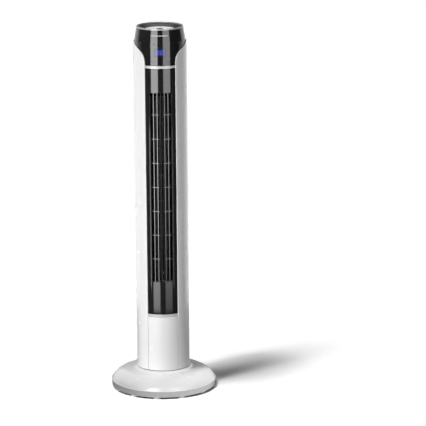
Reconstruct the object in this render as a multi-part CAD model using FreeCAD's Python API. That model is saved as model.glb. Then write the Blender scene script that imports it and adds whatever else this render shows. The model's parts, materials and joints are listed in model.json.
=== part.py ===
import FreeCAD, Part
import math
import os

os.makedirs("parts", exist_ok=True)
V = FreeCAD.Vector
UP = V(0, 0, 1)

# A tower fan. Millimetres, +Z up, front towards -Y, origin on the floor under the base's centre.
# Angles round the tower are measured from the front (-Y) towards +X.

# ---- driving dimensions: outside ----
overall_height = 1085.0
base_radius = 155.0
tower_radius = 77.5
shell_wall = 2.5
skin_gap = 0.3           # between an outer skin and what lies under it
seam_gap = 0.4           # between two skins side by side
flat_gap = 0.2           # between two pieces stacked face to face
screw_gap = 0.1          # round a screw in its hole
running_gap = 0.05       # round a turning shaft

# ---- base ----
foot_height = 5.0
foot_radius = 10.0
foot_inset = 12.0
foot_count = 12
foot_first_angle = -8.0
band_height = 19.0
band_taper = 1.5
rim_round = 1.5
base_wall = 3.0
dome_top = 58.0
dome_foot_margin = 14.5  # from the tower's side out to where the dome meets the collar
collar_lip = 2.5
collar_height = 63.0
base_plate_thickness = 3.0
base_screw_count = 6
base_screw_inset = 35.0
base_boss_radius = 5.0
base_screw_length = 16.0
gland_radius = 6.0
gland_bore = 3.6
gland_flange = 6.9
gland_inside = 8.0

# ---- pivot and swing drive ----
spindle_radius = 14.0
spindle_wall = 3.5
spindle_flange_radius = 34.0
spindle_flange_thickness = 2.5
spindle_screw_circle = 26.0
spindle_screw_skin = 0.6  # left over the screw's hole, under the collar's top
slide_ring_width = 8.0
slide_ring_radius = 64.0
slide_ring_thickness = 1.3
turntable_thickness = 3.5
hub_wall = 6.0
hub_height = 9.7
washer_thickness = 1.0
gear_module = 1.2
gear_width = 6.0
sector_teeth = 60
sector_half_count = 9
pinion_teeth = 15
pressure_angle = 20.0
gear_addendum = 0.85
gear_dedendum = 1.2
tooth_thinning = 0.09
nut_radius = 18.0
nut_height = 5.0
swing_shaft_radius = 3.0
swing_can_radius = 24.0
swing_can_height = 18.0
swing_ear_span = 29.0
swing_ear_thickness = 1.5
swing_post_radius = 4.0
swing_nose_radius = 6.0
swing_nose_height = 2.5
pinion_nose_gap = 2.0
swing_shaft_grip = 5.0   # how far the shaft runs up into the motor
swing_screw_length = 9.0

# ---- front: heights of the pieces, from the top down and from the bottom up ----
tower_gap = 1.6          # from the collar up to the tower's skins
lower_panel_top = 227.0
lower_strip_height = 9.0
lower_black_height = 98.6
head_height = 107.0
upper_strip_height = 7.6
upper_black_height = 71.2
opening_half_width = 45.0
lap_width = 7.0
strip_proud = 0.9
panel_lap_start = 4.0    # from the skins' low end up to the lower panel's lap
weld = 0.5               # overlap where two solids are joined

# ---- fixing bosses of the side shells ----
shell_boss_angles = (60.0, 110.0)
shell_boss_radius = 5.0
shell_boss_inset = 4.5
shell_boss_height = 15.0
shell_hole_depth = 12.0
turntable_screw_length = 10.0

# ---- shoulder of the side shells ----
shoulder_drop = 43.0     # from the overall top down to the shells' top edge
shoulder_start = 101.0   # from the overall top down to where the opening begins to widen
shoulder_knee_drop = 21.0  # from the shells' top down to the corner of the curve

# ---- rear housing ----
rear_half_angle = 55.0
rear_lap_angle = 7.0
rear_lap_root = 5.0      # how far the lap reaches back under its own shell, in degrees
rear_lap_start = 20.0    # from the skins' low end up to the lap
housing_seat_depth = 1.6
housing_head_height = 1.4
housing_shank = 4.3
housing_screw_shares = (0.08, 0.36, 0.64, 0.92)
slot_width = 5.0
slot_columns = 11
slot_rows = 8
slot_pitch_angle = 7.6
slot_land = 8.0
handle_half_width = 40.0
handle_height = 34.0
handle_below_head = 52.0
handle_depth = 24.0
handle_wall = 2.0
handle_lip = 4.0

# ---- grille and bezel ----
window_half_width = 32.8
bar_pitch = 10.6
bar_side_count = 3
bar_thickness = 1.6
bar_depth = 7.0
bar_inset = 0.9
rib_count = 7
rib_pitch = 71.7
rib_first = 69.6
rib_thickness = 1.4
rib_depth = 3.5
rib_inset = 2.6
grille_frame_depth = 2.6
grille_frame_width = 5.0
groove_offset = 1.8
groove_width = 1.0
groove_depth = 0.8
groove_run_up = 39.0

# ---- head and top ----
head_top_radius = 68.4
head_straight = 62.0     # height of the straight lower part
rim_height = 4.0
rim_width = 4.6
rim_fillet = 1.6
tray_wall = 2.0
dial_radius = 44.6
dial_thickness = 2.5
dial_drop = 10.5         # from the top of the rim down to the dial's face
dial_shelf = 5.0
tray_lip_overlap = 1.2
tray_edge_drop = 0.6     # from the dial's face down to the edge of the well
power_button_radius = 10.0
key_inner_radius = 20.0
key_outer_radius = 35.0
key_half_angle = 36.0
key_gap = 0.3
key_proud = 1.2
key_travel = 1.2
key_flange = 1.2
key_flange_thickness = 1.4
key_stem_radius = 2.5
switch_height = 2.4
switch_half = 3.0
board_thickness = 1.6
board_drop = 8.4         # from the underside of the dial to the control board

# ---- display ----
display_half_width = 16.5
display_height = 20.0
display_drop = 58.0      # from the overall top to the top of the display
mark_drop = 94.0
mark_side = 24.0
mark_width = 6.0
mark_height = 3.0
receiver_drop = 44.0
receiver_side = 16.5
receiver_radius = 2.2
bar_mark_drop = 19.4
bar_mark_left = -26.0
bar_mark_right = 22.0
bar_mark_height = 2.4
bar_mark_proud = 0.4
bar_mark_depth = 1.2
bar_mark_clearance = 0.1
window_clearance = 0.15
display_board_gap = 10.5
display_board_half = 25.0
display_board_drops = (105.0, 36.0)
board_post_side = 20.0
board_post_drops = (40.0, 101.0)

# ---- air mover ----
wheel_y = 8.0
wheel_radius = 44.0
wheel_segments = 7
wheel_disc = 1.5
wheel_end_gap = 11.0
wheel_top_gap = 18.0
blade_count = 26
blade_depth = 9.0
blade_thickness = 1.0
wheel_hub_radius = 9.0
wheel_hub_height = 14.0
wheel_disc_proud = 0.4
blade_bend = 0.11        # how far a blade's middle leads its ends, in radians
press_gap = 0.02
set_screw_radius = 2.0
set_screw_drop = 5.0     # from the hub's top down to the set screw
scroll_gap = 4.0
scroll_growth = 0.12
scroll_first_angle = 115.0
scroll_last_angle = 222.0
duct_wall = 2.0
tongue_gap = 3.0
tongue_nose_angle = -32.0
plate_thickness = 3.0
plate_lip = 0.3
motor_shaft_radius = 4.0
motor_radius = 38.0
motor_height = 58.0
stator_height = 14.0
bell_wall = 2.0
rotor_gap = 0.4
rotor_radius = 22.0
coil_width = 11.0
coil_proud = 6.0
bearing_radius = 8.0
bearing_height = 10.0
motor_ear_reach = 5.0
motor_ear_half = 6.0
grommet_radius = 5.0
grommet_height = 6.0
top_pin_radius = 3.0
bush_radius = 6.0
bush_wall = 3.0
bush_below = 6.0
bush_above = 3.0

# ---- power parts ----
power_board_width = 70.0
power_board_height = 100.0
power_board_low = 125.0
power_board_y = 55.0
power_post_side = 28.0
power_post_inset = 10.0
# the taller parts as (left, right, reach to the front, low, high)
transformer_box = (-28.0, 2.0, 24.0, 12.0, 38.0)
relay_box = (8.0, 26.0, 15.0, 14.0, 32.0)
terminal_box = (-24.0, 24.0, 10.0, 70.0, 80.0)
capacitor_box = (-12.0, 25.0, 18.0, 42.0, 66.0)
post_radius = 3.0
screw_radius = 1.5
screw_head_radius = 3.0
screw_head_height = 2.0

# ---- sizes that follow ----
skin_inner = tower_radius - shell_wall
inner_radius = skin_inner - skin_gap
inner_bore = inner_radius - shell_wall
deck_low = collar_height - base_wall
turntable_low = collar_height + slide_ring_thickness
turntable_top = turntable_low + turntable_thickness
hub_top = turntable_low + hub_height
gear_low = hub_top + washer_thickness
gear_top = gear_low + gear_width
sector_pitch_radius = gear_module * sector_teeth / 2
pinion_pitch_radius = gear_module * pinion_teeth / 2
drive_distance = sector_pitch_radius + pinion_pitch_radius
swing_nose_low = gear_top + pinion_nose_gap
swing_ear_low = swing_nose_low + swing_nose_height
skin_low = collar_height + tower_gap
black_low = lower_panel_top + lower_strip_height
window_low = black_low + lower_black_height
head_low = overall_height - head_height
black_top = head_low - upper_strip_height
window_top = black_top - upper_black_height
shell_top = overall_height - shoulder_drop
wheel_low = window_low
wheel_top = window_top - wheel_top_gap
motor_plate_top = wheel_low - wheel_end_gap + plate_thickness
motor_plate_low = motor_plate_top - plate_thickness
duct_top_low = window_top + flat_gap
motor_top = motor_plate_low - grommet_height
motor_low = motor_top - motor_height
grille_outer = inner_bore - skin_gap
grille_inner = grille_outer - grille_frame_depth
rim_low = overall_height - rim_height
dial_top = overall_height - dial_drop
dial_low = dial_top - dial_thickness
board_top = dial_low - board_drop
board_low = board_top - board_thickness


# ---- helpers ----
def at(radius, angle, z=0.0):
    """The point at an angle from the front, on a circle round the tower's axis."""
    turn = math.radians(angle)
    return V(radius * math.sin(turn), -radius * math.cos(turn), z)


def cylinder(radius, low, high, x=0.0, y=0.0):
    return Part.makeCylinder(radius, high - low, V(x, y, low))


def tube(outer, inner, low, high, x=0.0, y=0.0):
    return cylinder(outer, low, high, x, y).cut(cylinder(inner, low - 1, high + 1, x, y))


def block(x0, x1, y0, y1, z0, z1):
    return Part.makeBox(x1 - x0, y1 - y0, z1 - z0, V(x0, y0, z0))


def line(a, b):
    return Part.LineSegment(a, b).toShape()


def bezier(*points):
    curve = Part.BezierCurve()
    curve.setPoles(list(points))
    return curve.toShape()


def arc(a, middle, b):
    return Part.Arc(a, middle, b).toShape()


def turned(edges):
    """Revolves a closed outline, given as edges in the XZ plane, round the tower's axis."""
    return Part.Face(Part.Wire(edges)).revolve(V(0, 0, 0), UP, 360)


def turned_polygon(*corners):
    points = [V(r, 0, z) for r, z in corners]
    return Part.Face(Part.makePolygon(points + points[:1])).revolve(V(0, 0, 0), UP, 360)


def prism(points, low, high):
    """An upright prism on a closed outline of (x, y) points."""
    outline = [V(x, y, low) for x, y in points]
    return Part.Face(Part.makePolygon(outline + outline[:1])).extrude(V(0, 0, high - low))


def wedge(first, last, reach, low, high):
    """The part of space between two angles round the tower."""
    steps = max(2, math.ceil((last - first) / 30.0))
    rim = [at(reach, first + (last - first) * k / steps) for k in range(steps + 1)]
    return prism([(0.0, 0.0)] + [(p.x, p.y) for p in rim], low, high)


def ring_sector(outer, inner, first, last, low, high):
    return tube(outer, inner, low, high).common(wedge(first, last, outer * 1.3, low - 1, high + 1))


def front_strip(outer, inner, half_width, low, high):
    """A curved strip on the front, as wide as two flat cuts leave it."""
    cut = block(-half_width, half_width, -outer - 1, 0, low - 1, high + 1)
    return tube(outer, inner, low, high).common(cut)


def radial_rod(radius, start, length, angle, z):
    """A rod that points outwards from the tower's axis."""
    return Part.makeCylinder(radius, length, at(start, angle, z), at(1.0, angle))


def join(first, *others):
    return first.fuse(list(others)).removeSplitter() if others else first


def save(name, shape):
    if shape.ShapeType == "Compound" and len(shape.Solids) == 1:
        shape = shape.Solids[0]
    if not shape.isValid():
        raise ValueError(name + " is not a valid solid")
    shape.exportStep("parts/" + name + ".step")
    print(name, len(shape.Solids), round(shape.Volume, 1))


# ---- base ----
def base_filling(inset, low):
    """The base's outer shape, shrunk by an inset, as one full solid down to a height."""
    side = base_radius - inset
    band_top = foot_height + band_height - inset
    dome_start = side - rim_round
    dome_end = tower_radius + dome_foot_margin - inset
    collar = tower_radius + collar_lip - inset
    lift = dome_top - foot_height - band_height
    corner = rim_round * (1 - math.sqrt(0.5))
    outline = [
        line(V(0, 0, low), V(side - band_taper, 0, low)),
        line(V(side - band_taper, 0, low), V(side, 0, band_top - rim_round)),
        arc(V(side, 0, band_top - rim_round), V(side - corner, 0, band_top - corner),
            V(dome_start, 0, band_top)),
        bezier(V(dome_start, 0, band_top), V(dome_start - lift * 0.42, 0, band_top + lift * 0.82),
               V(dome_end, 0, dome_top - inset)),
        bezier(V(dome_end, 0, dome_top - inset), V((dome_end + collar) / 2, 0, dome_top - inset + 0.8),
               V(collar, 0, collar_height - inset)),
        line(V(collar, 0, collar_height - inset), V(0, 0, collar_height - inset)),
        line(V(0, 0, collar_height - inset), V(0, 0, low)),
    ]
    return turned(outline)


def base_screw_points():
    circle = base_radius - base_screw_inset
    return [at(circle, 15 + 360.0 * k / base_screw_count) for k in range(base_screw_count)]


def spindle_screw_points():
    return [at(spindle_screw_circle, 45 + 90 * k) for k in range(4)]


def make_base_cover():
    plate_top = foot_height + base_plate_thickness
    shell = base_filling(0, foot_height).cut(base_filling(base_wall, foot_height - 10))
    inside = base_filling(base_wall / 2, plate_top)
    for p in base_screw_points():
        boss = cylinder(base_boss_radius, plate_top, collar_height, p.x, p.y).common(inside)
        shell = shell.fuse(boss)
    for p in base_screw_points():
        shell = shell.cut(cylinder(screw_radius + screw_gap, plate_top - 1,
                                   plate_top + base_screw_length, p.x, p.y))
    shell = shell.cut(cylinder(spindle_radius + skin_gap, deck_low - 1, collar_height + 1))
    for p in spindle_screw_points():
        shell = shell.cut(cylinder(screw_radius + screw_gap, deck_low - 1,
                                   collar_height - spindle_screw_skin, p.x, p.y))
    shell = shell.cut(gland_rod(gland_radius + screw_gap, -20, 10))
    return shell.removeSplitter()


def gland_rod(radius, start, end):
    """A rod along the cord's way out, from start to end, measured from the band's outside."""
    z = foot_height + (band_height + base_plate_thickness) / 2
    return Part.makeCylinder(radius, end - start, V(0, base_radius + start, z), V(0, 1, 0))


def make_cable_gland():
    barrel = gland_rod(gland_radius, -base_wall - gland_inside, 0)
    flange_seat = -base_wall - band_taper - 1.3
    inner_flange = gland_rod(gland_flange, flange_seat - 2, flange_seat)
    # the barrel's outer end follows the band, so nothing stands out of the base
    keep = base_filling(0, 0)
    return join(barrel, inner_flange).common(keep).cut(gland_rod(gland_bore, -60, 10))


def make_base_plate():
    edge = base_radius - band_taper - base_wall - skin_gap
    plate = cylinder(edge, foot_height, foot_height + base_plate_thickness)
    for p in base_screw_points():
        plate = plate.cut(cylinder(screw_radius + screw_gap, 0, 20, p.x, p.y))
    return plate


def make_feet():
    pads = []
    for k in range(foot_count):
        p = at(base_radius - foot_inset, foot_first_angle + 360.0 * k / foot_count)
        pad = cylinder(foot_radius, 0, foot_height, p.x, p.y)
        bottom = [e for e in pad.Edges if e.BoundBox.ZMax < 0.01]
        pads.append(pad.makeFillet(1.0, bottom))
    return Part.makeCompound(pads)


def screw(x, y, seat, tip, head_down=True):
    """A pan-head screw with its head under (or over) the seat."""
    head_low = seat - screw_head_height if head_down else seat
    head = cylinder(screw_head_radius, head_low, head_low + screw_head_height, x, y)
    shank = cylinder(screw_radius, min(seat, tip), max(seat, tip), x, y)
    return join(head, shank)


def make_base_screws():
    seat = foot_height
    return Part.makeCompound([screw(p.x, p.y, seat, seat + base_screw_length) for p in base_screw_points()])


def make_pivot_spindle():
    flange_low = deck_low - spindle_flange_thickness
    top = gear_top + nut_height + 1
    spindle = join(cylinder(spindle_radius, flange_low, top),
                   cylinder(spindle_flange_radius, flange_low, deck_low))
    spindle = spindle.cut(cylinder(spindle_radius - spindle_wall, flange_low - 1, top + 1))
    for p in spindle_screw_points():
        spindle = spindle.cut(cylinder(screw_radius + screw_gap, flange_low - 1, top, p.x, p.y))
    return spindle


def make_spindle_screws():
    seat = deck_low - spindle_flange_thickness
    tip = collar_height - spindle_screw_skin - flat_gap
    return Part.makeCompound([screw(p.x, p.y, seat, tip) for p in spindle_screw_points()])


def make_slide_ring():
    return tube(slide_ring_radius, slide_ring_radius - slide_ring_width, collar_height, turntable_low)


def make_thrust_washer():
    return tube(spindle_radius + hub_wall, spindle_radius + running_gap, hub_top, gear_low)


def make_spindle_nut():
    corners = [at(nut_radius, 60 * k) for k in range(6)]
    nut = prism([(p.x, p.y) for p in corners], gear_top, gear_top + nut_height)
    return nut.cut(cylinder(spindle_radius + running_gap, gear_top - 1, gear_top + nut_height + 1))


# ---- gears ----
def involute(angle):
    return math.tan(angle) - angle


def tooth_outline(teeth, middle):
    """The (radius, angle) points of one involute tooth, angles in radians."""
    pitch = gear_module * teeth / 2
    root = pitch - gear_dedendum * gear_module
    tip = pitch + gear_addendum * gear_module
    slant = math.radians(pressure_angle)
    foot = max(pitch * math.cos(slant), root)
    half = math.pi / (2 * teeth) - tooth_thinning / pitch
    flank = []
    for step in range(5):
        radius = foot + (tip - foot) * step / 4
        rise = math.acos(min(1.0, pitch * math.cos(slant) / radius))
        flank.append((radius, half + involute(slant) - involute(rise)))
    flank.insert(0, (root - 0.01, flank[0][1]))
    left = [(radius, middle - turn) for radius, turn in flank]
    right = [(radius, middle + turn) for radius, turn in reversed(flank)]
    return left + right


def polar(radius, turn):
    return (radius * math.cos(turn), radius * math.sin(turn))


def make_sector_gear():
    """Teeth over the rear arc only, on a web that is keyed to the spindle."""
    root = sector_pitch_radius - gear_dedendum * gear_module
    pitch_angle = 2 * math.pi / sector_teeth
    reach = math.degrees(pitch_angle) * (sector_half_count + 0.5)
    body = join(cylinder(spindle_radius + hub_wall, gear_low, gear_top),
                ring_sector(root, spindle_radius + 1, 180 - reach, 180 + reach, gear_low, gear_top))
    teeth = []
    for k in range(-sector_half_count, sector_half_count + 1):
        outline = tooth_outline(sector_teeth, math.pi / 2 + k * pitch_angle)
        teeth.append(prism([polar(r - 0.3 if i in (0, len(outline) - 1) else r, t)
                            for i, (r, t) in enumerate(outline)], gear_low, gear_top))
    gear = join(body, *teeth)
    return gear.cut(cylinder(spindle_radius + running_gap, gear_low - 1, gear_top + 1))


def make_swing_pinion():
    outline = []
    for k in range(pinion_teeth):
        # a gap between two teeth faces the sector's middle tooth
        middle = -math.pi / 2 + (k + 0.5) * 2 * math.pi / pinion_teeth
        outline += [polar(r, t) for r, t in tooth_outline(pinion_teeth, middle)]
    moved = [(x, y + drive_distance) for x, y in outline]
    bore = cylinder(swing_shaft_radius + running_gap, gear_low - 1, gear_top + 1, 0, drive_distance)
    return prism(moved, gear_low, gear_top).cut(bore)


def make_swing_motor_shaft():
    return cylinder(swing_shaft_radius, gear_low - 1, swing_ear_low + swing_shaft_grip, 0, drive_distance)


def make_swing_motor():
    reach = swing_ear_span + swing_post_radius + 1
    nose = cylinder(swing_nose_radius, swing_nose_low, swing_ear_low, 0, drive_distance)
    ears = block(-reach, reach, drive_distance - 6, drive_distance + 6,
                 swing_ear_low, swing_ear_low + swing_ear_thickness)
    can = cylinder(swing_can_radius, swing_ear_low, swing_ear_low + swing_can_height, 0, drive_distance)
    motor = join(nose, ears, can)
    hole_top = swing_ear_low + swing_shaft_grip + flat_gap
    bore = swing_shaft_radius + running_gap
    motor = motor.cut(cylinder(bore, swing_nose_low - 1, hole_top, 0, drive_distance))
    for side in (-1, 1):
        motor = motor.cut(cylinder(screw_radius + screw_gap, swing_ear_low - 1, swing_ear_low + 3,
                                   side * swing_ear_span, drive_distance))
    return motor


def make_swing_motor_screws():
    seat = swing_ear_low + swing_ear_thickness
    tip = seat - swing_screw_length
    return Part.makeCompound([screw(side * swing_ear_span, drive_distance, seat, tip, False)
                              for side in (-1, 1)])


# ---- turntable ----
def shell_boss_points(side):
    return [at(skin_inner - shell_boss_inset, side * angle) for angle in shell_boss_angles]


def make_turntable():
    plate = cylinder(skin_inner - seam_gap, turntable_low, turntable_top)
    hub = cylinder(spindle_radius + hub_wall, turntable_low, hub_top)
    posts = [cylinder(swing_post_radius, turntable_top - 1, swing_ear_low,
                      side * swing_ear_span, drive_distance) for side in (-1, 1)]
    table = join(plate, hub, *posts)
    table = table.cut(cylinder(spindle_radius + running_gap, turntable_low - 1, hub_top + 1))
    for side in (-1, 1):
        table = table.cut(cylinder(screw_radius + screw_gap, swing_ear_low - swing_screw_length,
                                   swing_ear_low + 1, side * swing_ear_span, drive_distance))
        for p in shell_boss_points(side):
            # the screw's head lies in a counterbore, clear of the slide ring's plane
            table = table.cut(cylinder(screw_radius + screw_gap, turntable_low - 1,
                                       turntable_top + 1, p.x, p.y))
            table = table.cut(cylinder(screw_head_radius + screw_gap, turntable_low - 1,
                                       turntable_low + screw_head_height, p.x, p.y))
    return table


def make_turntable_screws():
    seat = turntable_low + screw_head_height
    points = shell_boss_points(-1) + shell_boss_points(1)
    return Part.makeCompound([screw(p.x, p.y, seat, seat + turntable_screw_length) for p in points])


# ---- outer skins ----
def front_opening(extra):
    """The front opening between the side shells, which widens into the shoulder at the top."""
    half = opening_half_width + extra
    start = overall_height - shoulder_start
    run = tower_radius - opening_half_width
    mid = V(half + run * 0.48, 0, shell_top - shoulder_knee_drop)
    end = V(tower_radius + 0.5 + extra, 0, shell_top + 3)
    right = [
        line(V(half, 0, skin_low - 2), V(half, 0, start)),
        bezier(V(half, 0, start), V(half, 0, start + 20), V(half + run * 0.26, 0, start + 31), mid),
        bezier(mid, V(mid.x + run * 0.23, 0, mid.z + 6), V(end.x - 3, 0, end.z - 11), end),
        line(end, V(end.x, 0, end.z + 10)),
    ]
    left = [e.mirror(V(0, 0, 0), V(1, 0, 0)) for e in right]
    bridge = [line(V(-half, 0, skin_low - 2), V(half, 0, skin_low - 2)),
              line(V(-end.x, 0, end.z + 10), V(end.x, 0, end.z + 10))]
    outline = Part.Wire(Part.__sortEdges__(right + left + bridge))
    face = Part.Face(outline)
    return face.extrude(V(0, -tower_radius - 5, 0))


def make_side_shell(side):
    """A quarter-round skin with its lap under the rear housing and two screw bosses."""
    rear = 180 - rear_half_angle - seam_angle() / 2
    low_angle, high_angle = (0, rear) if side > 0 else (-rear, 0)
    skin = ring_sector(tower_radius, skin_inner, low_angle, high_angle, skin_low, shell_top)
    skin = skin.cut(front_opening(0))
    lap_first = rear - rear_lap_root
    lap_last = rear + rear_lap_angle
    ends = (lap_first, lap_last) if side > 0 else (-lap_last, -lap_first)
    lap_low = skin_low + rear_lap_start
    lap = ring_sector(skin_inner - skin_gap, inner_bore, ends[0], ends[1], lap_low, head_low - 1)
    bridge_ends = (lap_first, rear) if side > 0 else (-rear, -lap_first)
    bridge = ring_sector(skin_inner + weld, skin_inner - 2 * weld, bridge_ends[0], bridge_ends[1],
                         lap_low, head_low - 1)
    bosses = []
    for p in shell_boss_points(side):
        boss_top = turntable_top + shell_boss_height
        boss = cylinder(shell_boss_radius, turntable_top, boss_top, p.x, p.y)
        bosses.append(boss.common(cylinder(skin_inner + weld, turntable_top, boss_top)))
    shell = join(skin, lap, bridge, *bosses)
    for p in shell_boss_points(side):
        shell = shell.cut(cylinder(screw_radius + screw_gap, turntable_top - 1,
                                   turntable_top + shell_hole_depth, p.x, p.y))
    for z in housing_screw_heights():
        angle = side * housing_screw_angle()
        shell = shell.cut(radial_rod(screw_radius + screw_gap, inner_bore - 5, 20, angle, z))
    return shell


def seam_angle():
    return math.degrees(seam_gap / tower_radius)


def housing_screw_angle():
    return 180 - rear_half_angle + rear_lap_angle / 2


def housing_screw_heights():
    span = black_top - skin_low
    return [skin_low + span * share for share in housing_screw_shares]


def make_rear_housing():
    """The rear skin: upright intake slots in rows, a hand-hold opening and screw seats."""
    half = rear_half_angle - seam_angle() / 2
    skin = ring_sector(tower_radius, skin_inner, 180 - half, 180 + half, skin_low, shell_top)
    cutters = []
    row_pitch = (window_top - window_low) / slot_rows
    for row in range(slot_rows):
        low = window_low + row * row_pitch + slot_land / 2
        high = low + row_pitch - slot_land
        for column in range(slot_columns):
            angle = 180 + (column - (slot_columns - 1) / 2) * slot_pitch_angle
            slot = block(-slot_width / 2, slot_width / 2, -tower_radius - 2, -inner_bore, low, high)
            slot.rotate(V(0, 0, 0), UP, angle)
            cutters.append(slot)
    cutters.append(handle_space(-1))
    for side in (-1, 1):
        for z in housing_screw_heights():
            angle = side * housing_screw_angle()
            cutters.append(radial_rod(screw_radius + screw_gap, inner_bore, 20, angle, z))
            cutters.append(radial_rod(screw_head_radius + screw_gap, housing_seat(), 20, angle, z))
    housing = skin.cut(cutters)
    posts = []
    for x, z in power_board_posts():
        rod = Part.makeCylinder(post_radius, tower_radius - power_board_y, V(x, power_board_back(), z),
                                V(0, 1, 0))
        posts.append(rod.common(cylinder(skin_inner + weld, z - 10, z + 10)))
    return join(housing, *posts)


def housing_seat():
    """The radius at which the housing screws' heads rest."""
    return tower_radius - housing_seat_depth


def make_housing_screws():
    screws = []
    for side in (-1, 1):
        for z in housing_screw_heights():
            angle = side * housing_screw_angle()
            head = radial_rod(screw_head_radius, housing_seat(), housing_head_height, angle, z)
            shank = radial_rod(screw_radius, housing_seat() - housing_shank + 0.1, housing_shank, angle, z)
            screws.append(join(head, shank))
    return Part.makeCompound(screws)


def handle_low():
    return head_low - handle_below_head


def handle_space(inset):
    """The room for the fingers in the rear hand-hold, shrunk by an inset."""
    half = handle_half_width - inset
    floor = tower_radius - handle_depth + inset
    return block(-half, half, floor, tower_radius + 5, handle_low() + inset,
                 handle_low() + handle_height - inset)


def make_handle_recess():
    """The moulded pocket that lines the hand-hold, with a lip under the rear skin."""
    pocket = handle_space(0).cut(handle_space(handle_wall))
    pocket = pocket.common(cylinder(tower_radius - weld, 0, overall_height))
    lip = block(-handle_half_width - handle_lip, handle_half_width + handle_lip, 0, tower_radius,
                handle_low() - handle_lip, handle_low() + handle_height + handle_lip)
    lip = lip.common(tube(inner_radius, inner_bore, 0, overall_height)).cut(handle_space(weld))
    return join(pocket, lip)


def make_lower_front_panel():
    """A white skin between the shells, with a lap under each of them."""
    skin = front_strip(tower_radius, skin_inner, opening_half_width - seam_gap,
                       skin_low, lower_panel_top - flat_gap)
    lap = front_strip(inner_radius, inner_bore, opening_half_width + lap_width,
                      skin_low + panel_lap_start, lower_panel_top - flat_gap)
    bridge = front_strip(skin_inner + weld, inner_radius - weld, opening_half_width - seam_gap - 2,
                         skin_low + panel_lap_start, lower_panel_top - flat_gap)
    return join(skin, lap, bridge)


def make_trim_strip(low, high):
    """A bright strip across the opening, with its lap under both shells."""
    face = front_strip(inner_radius + strip_proud, inner_bore, opening_half_width - seam_gap, low, high)
    lap = front_strip(inner_radius, inner_bore, opening_half_width + lap_width, low, high)
    return join(face, lap)


# ---- bezel and grille ----
def make_front_bezel():
    """The gloss front: laps under both shells, the air window and two long grooves."""
    bezel = front_strip(inner_radius, inner_bore, opening_half_width + lap_width,
                        black_low + flat_gap, black_top - flat_gap)
    cutters = [block(-window_half_width, window_half_width, -tower_radius, -10, window_low, window_top)]
    for side in (-1, 1):
        x = side * (window_half_width + groove_offset)
        floor = math.sqrt(inner_radius ** 2 - x ** 2) - groove_depth
        cutters.append(block(x - groove_width / 2, x + groove_width / 2, -tower_radius, -floor,
                             window_low - groove_run_up, window_top + groove_run_up))
    return bezel.cut(cutters)


def make_louvre_grid():
    """Upright bars joined by thin cross ribs, on a frame behind the bezel."""
    reach = window_half_width + grille_frame_width
    low = window_low - grille_frame_width
    high = window_top + grille_frame_width
    inner_half = window_half_width + weld
    frame = front_strip(grille_outer, grille_inner, reach, low, high)
    frame = frame.cut(block(-inner_half, inner_half, -tower_radius, 0, window_low + weld, window_top - weld))
    outer = inner_radius - bar_inset
    pieces = []
    for k in range(-bar_side_count, bar_side_count + 1):
        x = k * bar_pitch
        face = math.sqrt(outer ** 2 - x ** 2)
        bar = block(x - bar_thickness / 2, x + bar_thickness / 2, -face, -face + bar_depth,
                    window_low + skin_gap, window_top - skin_gap)
        pieces.append(bar)
        root = block(x - bar_thickness / 2, x + bar_thickness / 2, -tower_radius, 0, low + 1, high - 1)
        pieces.append(root.common(tube(grille_outer, grille_inner, low, high)))
    for k in range(rib_count):
        z = window_low + rib_first + k * rib_pitch
        if z < window_top - 10:
            rib = front_strip(inner_radius - rib_inset, inner_radius - rib_inset - rib_depth,
                              window_half_width + 3 * weld, z - rib_thickness / 2, z + rib_thickness / 2)
            window_part = block(-window_half_width + skin_gap, window_half_width - skin_gap,
                                -tower_radius, 0, z - 5, z + 5)
            room = cylinder(grille_outer, z - 5, z + 5).fuse(window_part)
            pieces.append(rib.common(room))
    return join(frame, *pieces)


# ---- head ----
def head_outline(inset):
    """The head's outer line from the top down, shrunk by an inset."""
    side = inner_radius - inset
    top = head_top_radius - inset
    bend = head_low + head_straight
    drop = side - top
    return [
        bezier(V(top, 0, rim_low), V(top + drop * 0.25, 0, rim_low - 10),
               V(side - drop * 0.45, 0, bend + 22), V(side - drop * 0.2, 0, bend + 10)),
        bezier(V(side - drop * 0.2, 0, bend + 10), V(side - drop * 0.06, 0, bend + 6), V(side, 0, bend)),
        line(V(side, 0, bend), V(side, 0, head_low + flat_gap)),
    ]


def head_solid(inset, low, high):
    top = head_top_radius - inset
    side = inner_radius - inset
    outline = head_outline(inset)
    outline.append(line(V(side, 0, head_low + flat_gap), V(0, 0, head_low + flat_gap)))
    outline.append(line(V(0, 0, head_low + flat_gap), V(0, 0, rim_low)))
    outline.append(line(V(0, 0, rim_low), V(top, 0, rim_low)))
    full = turned(outline)
    return full.common(cylinder(tower_radius * 2, low, high))


def display_board_y():
    return -(inner_bore - display_board_gap)


def board_post_points():
    return [(x, overall_height - drop) for x in (-board_post_side, board_post_side)
            for drop in board_post_drops]


def front_window(half_width, low, high, middle):
    return block(middle - half_width, middle + half_width, -tower_radius - 2, -40, low, high)


def receiver_rod(radius, start, end):
    z = overall_height - receiver_drop
    return Part.makeCylinder(radius, end - start, V(-receiver_side, -end, z), V(0, 1, 0))


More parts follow.
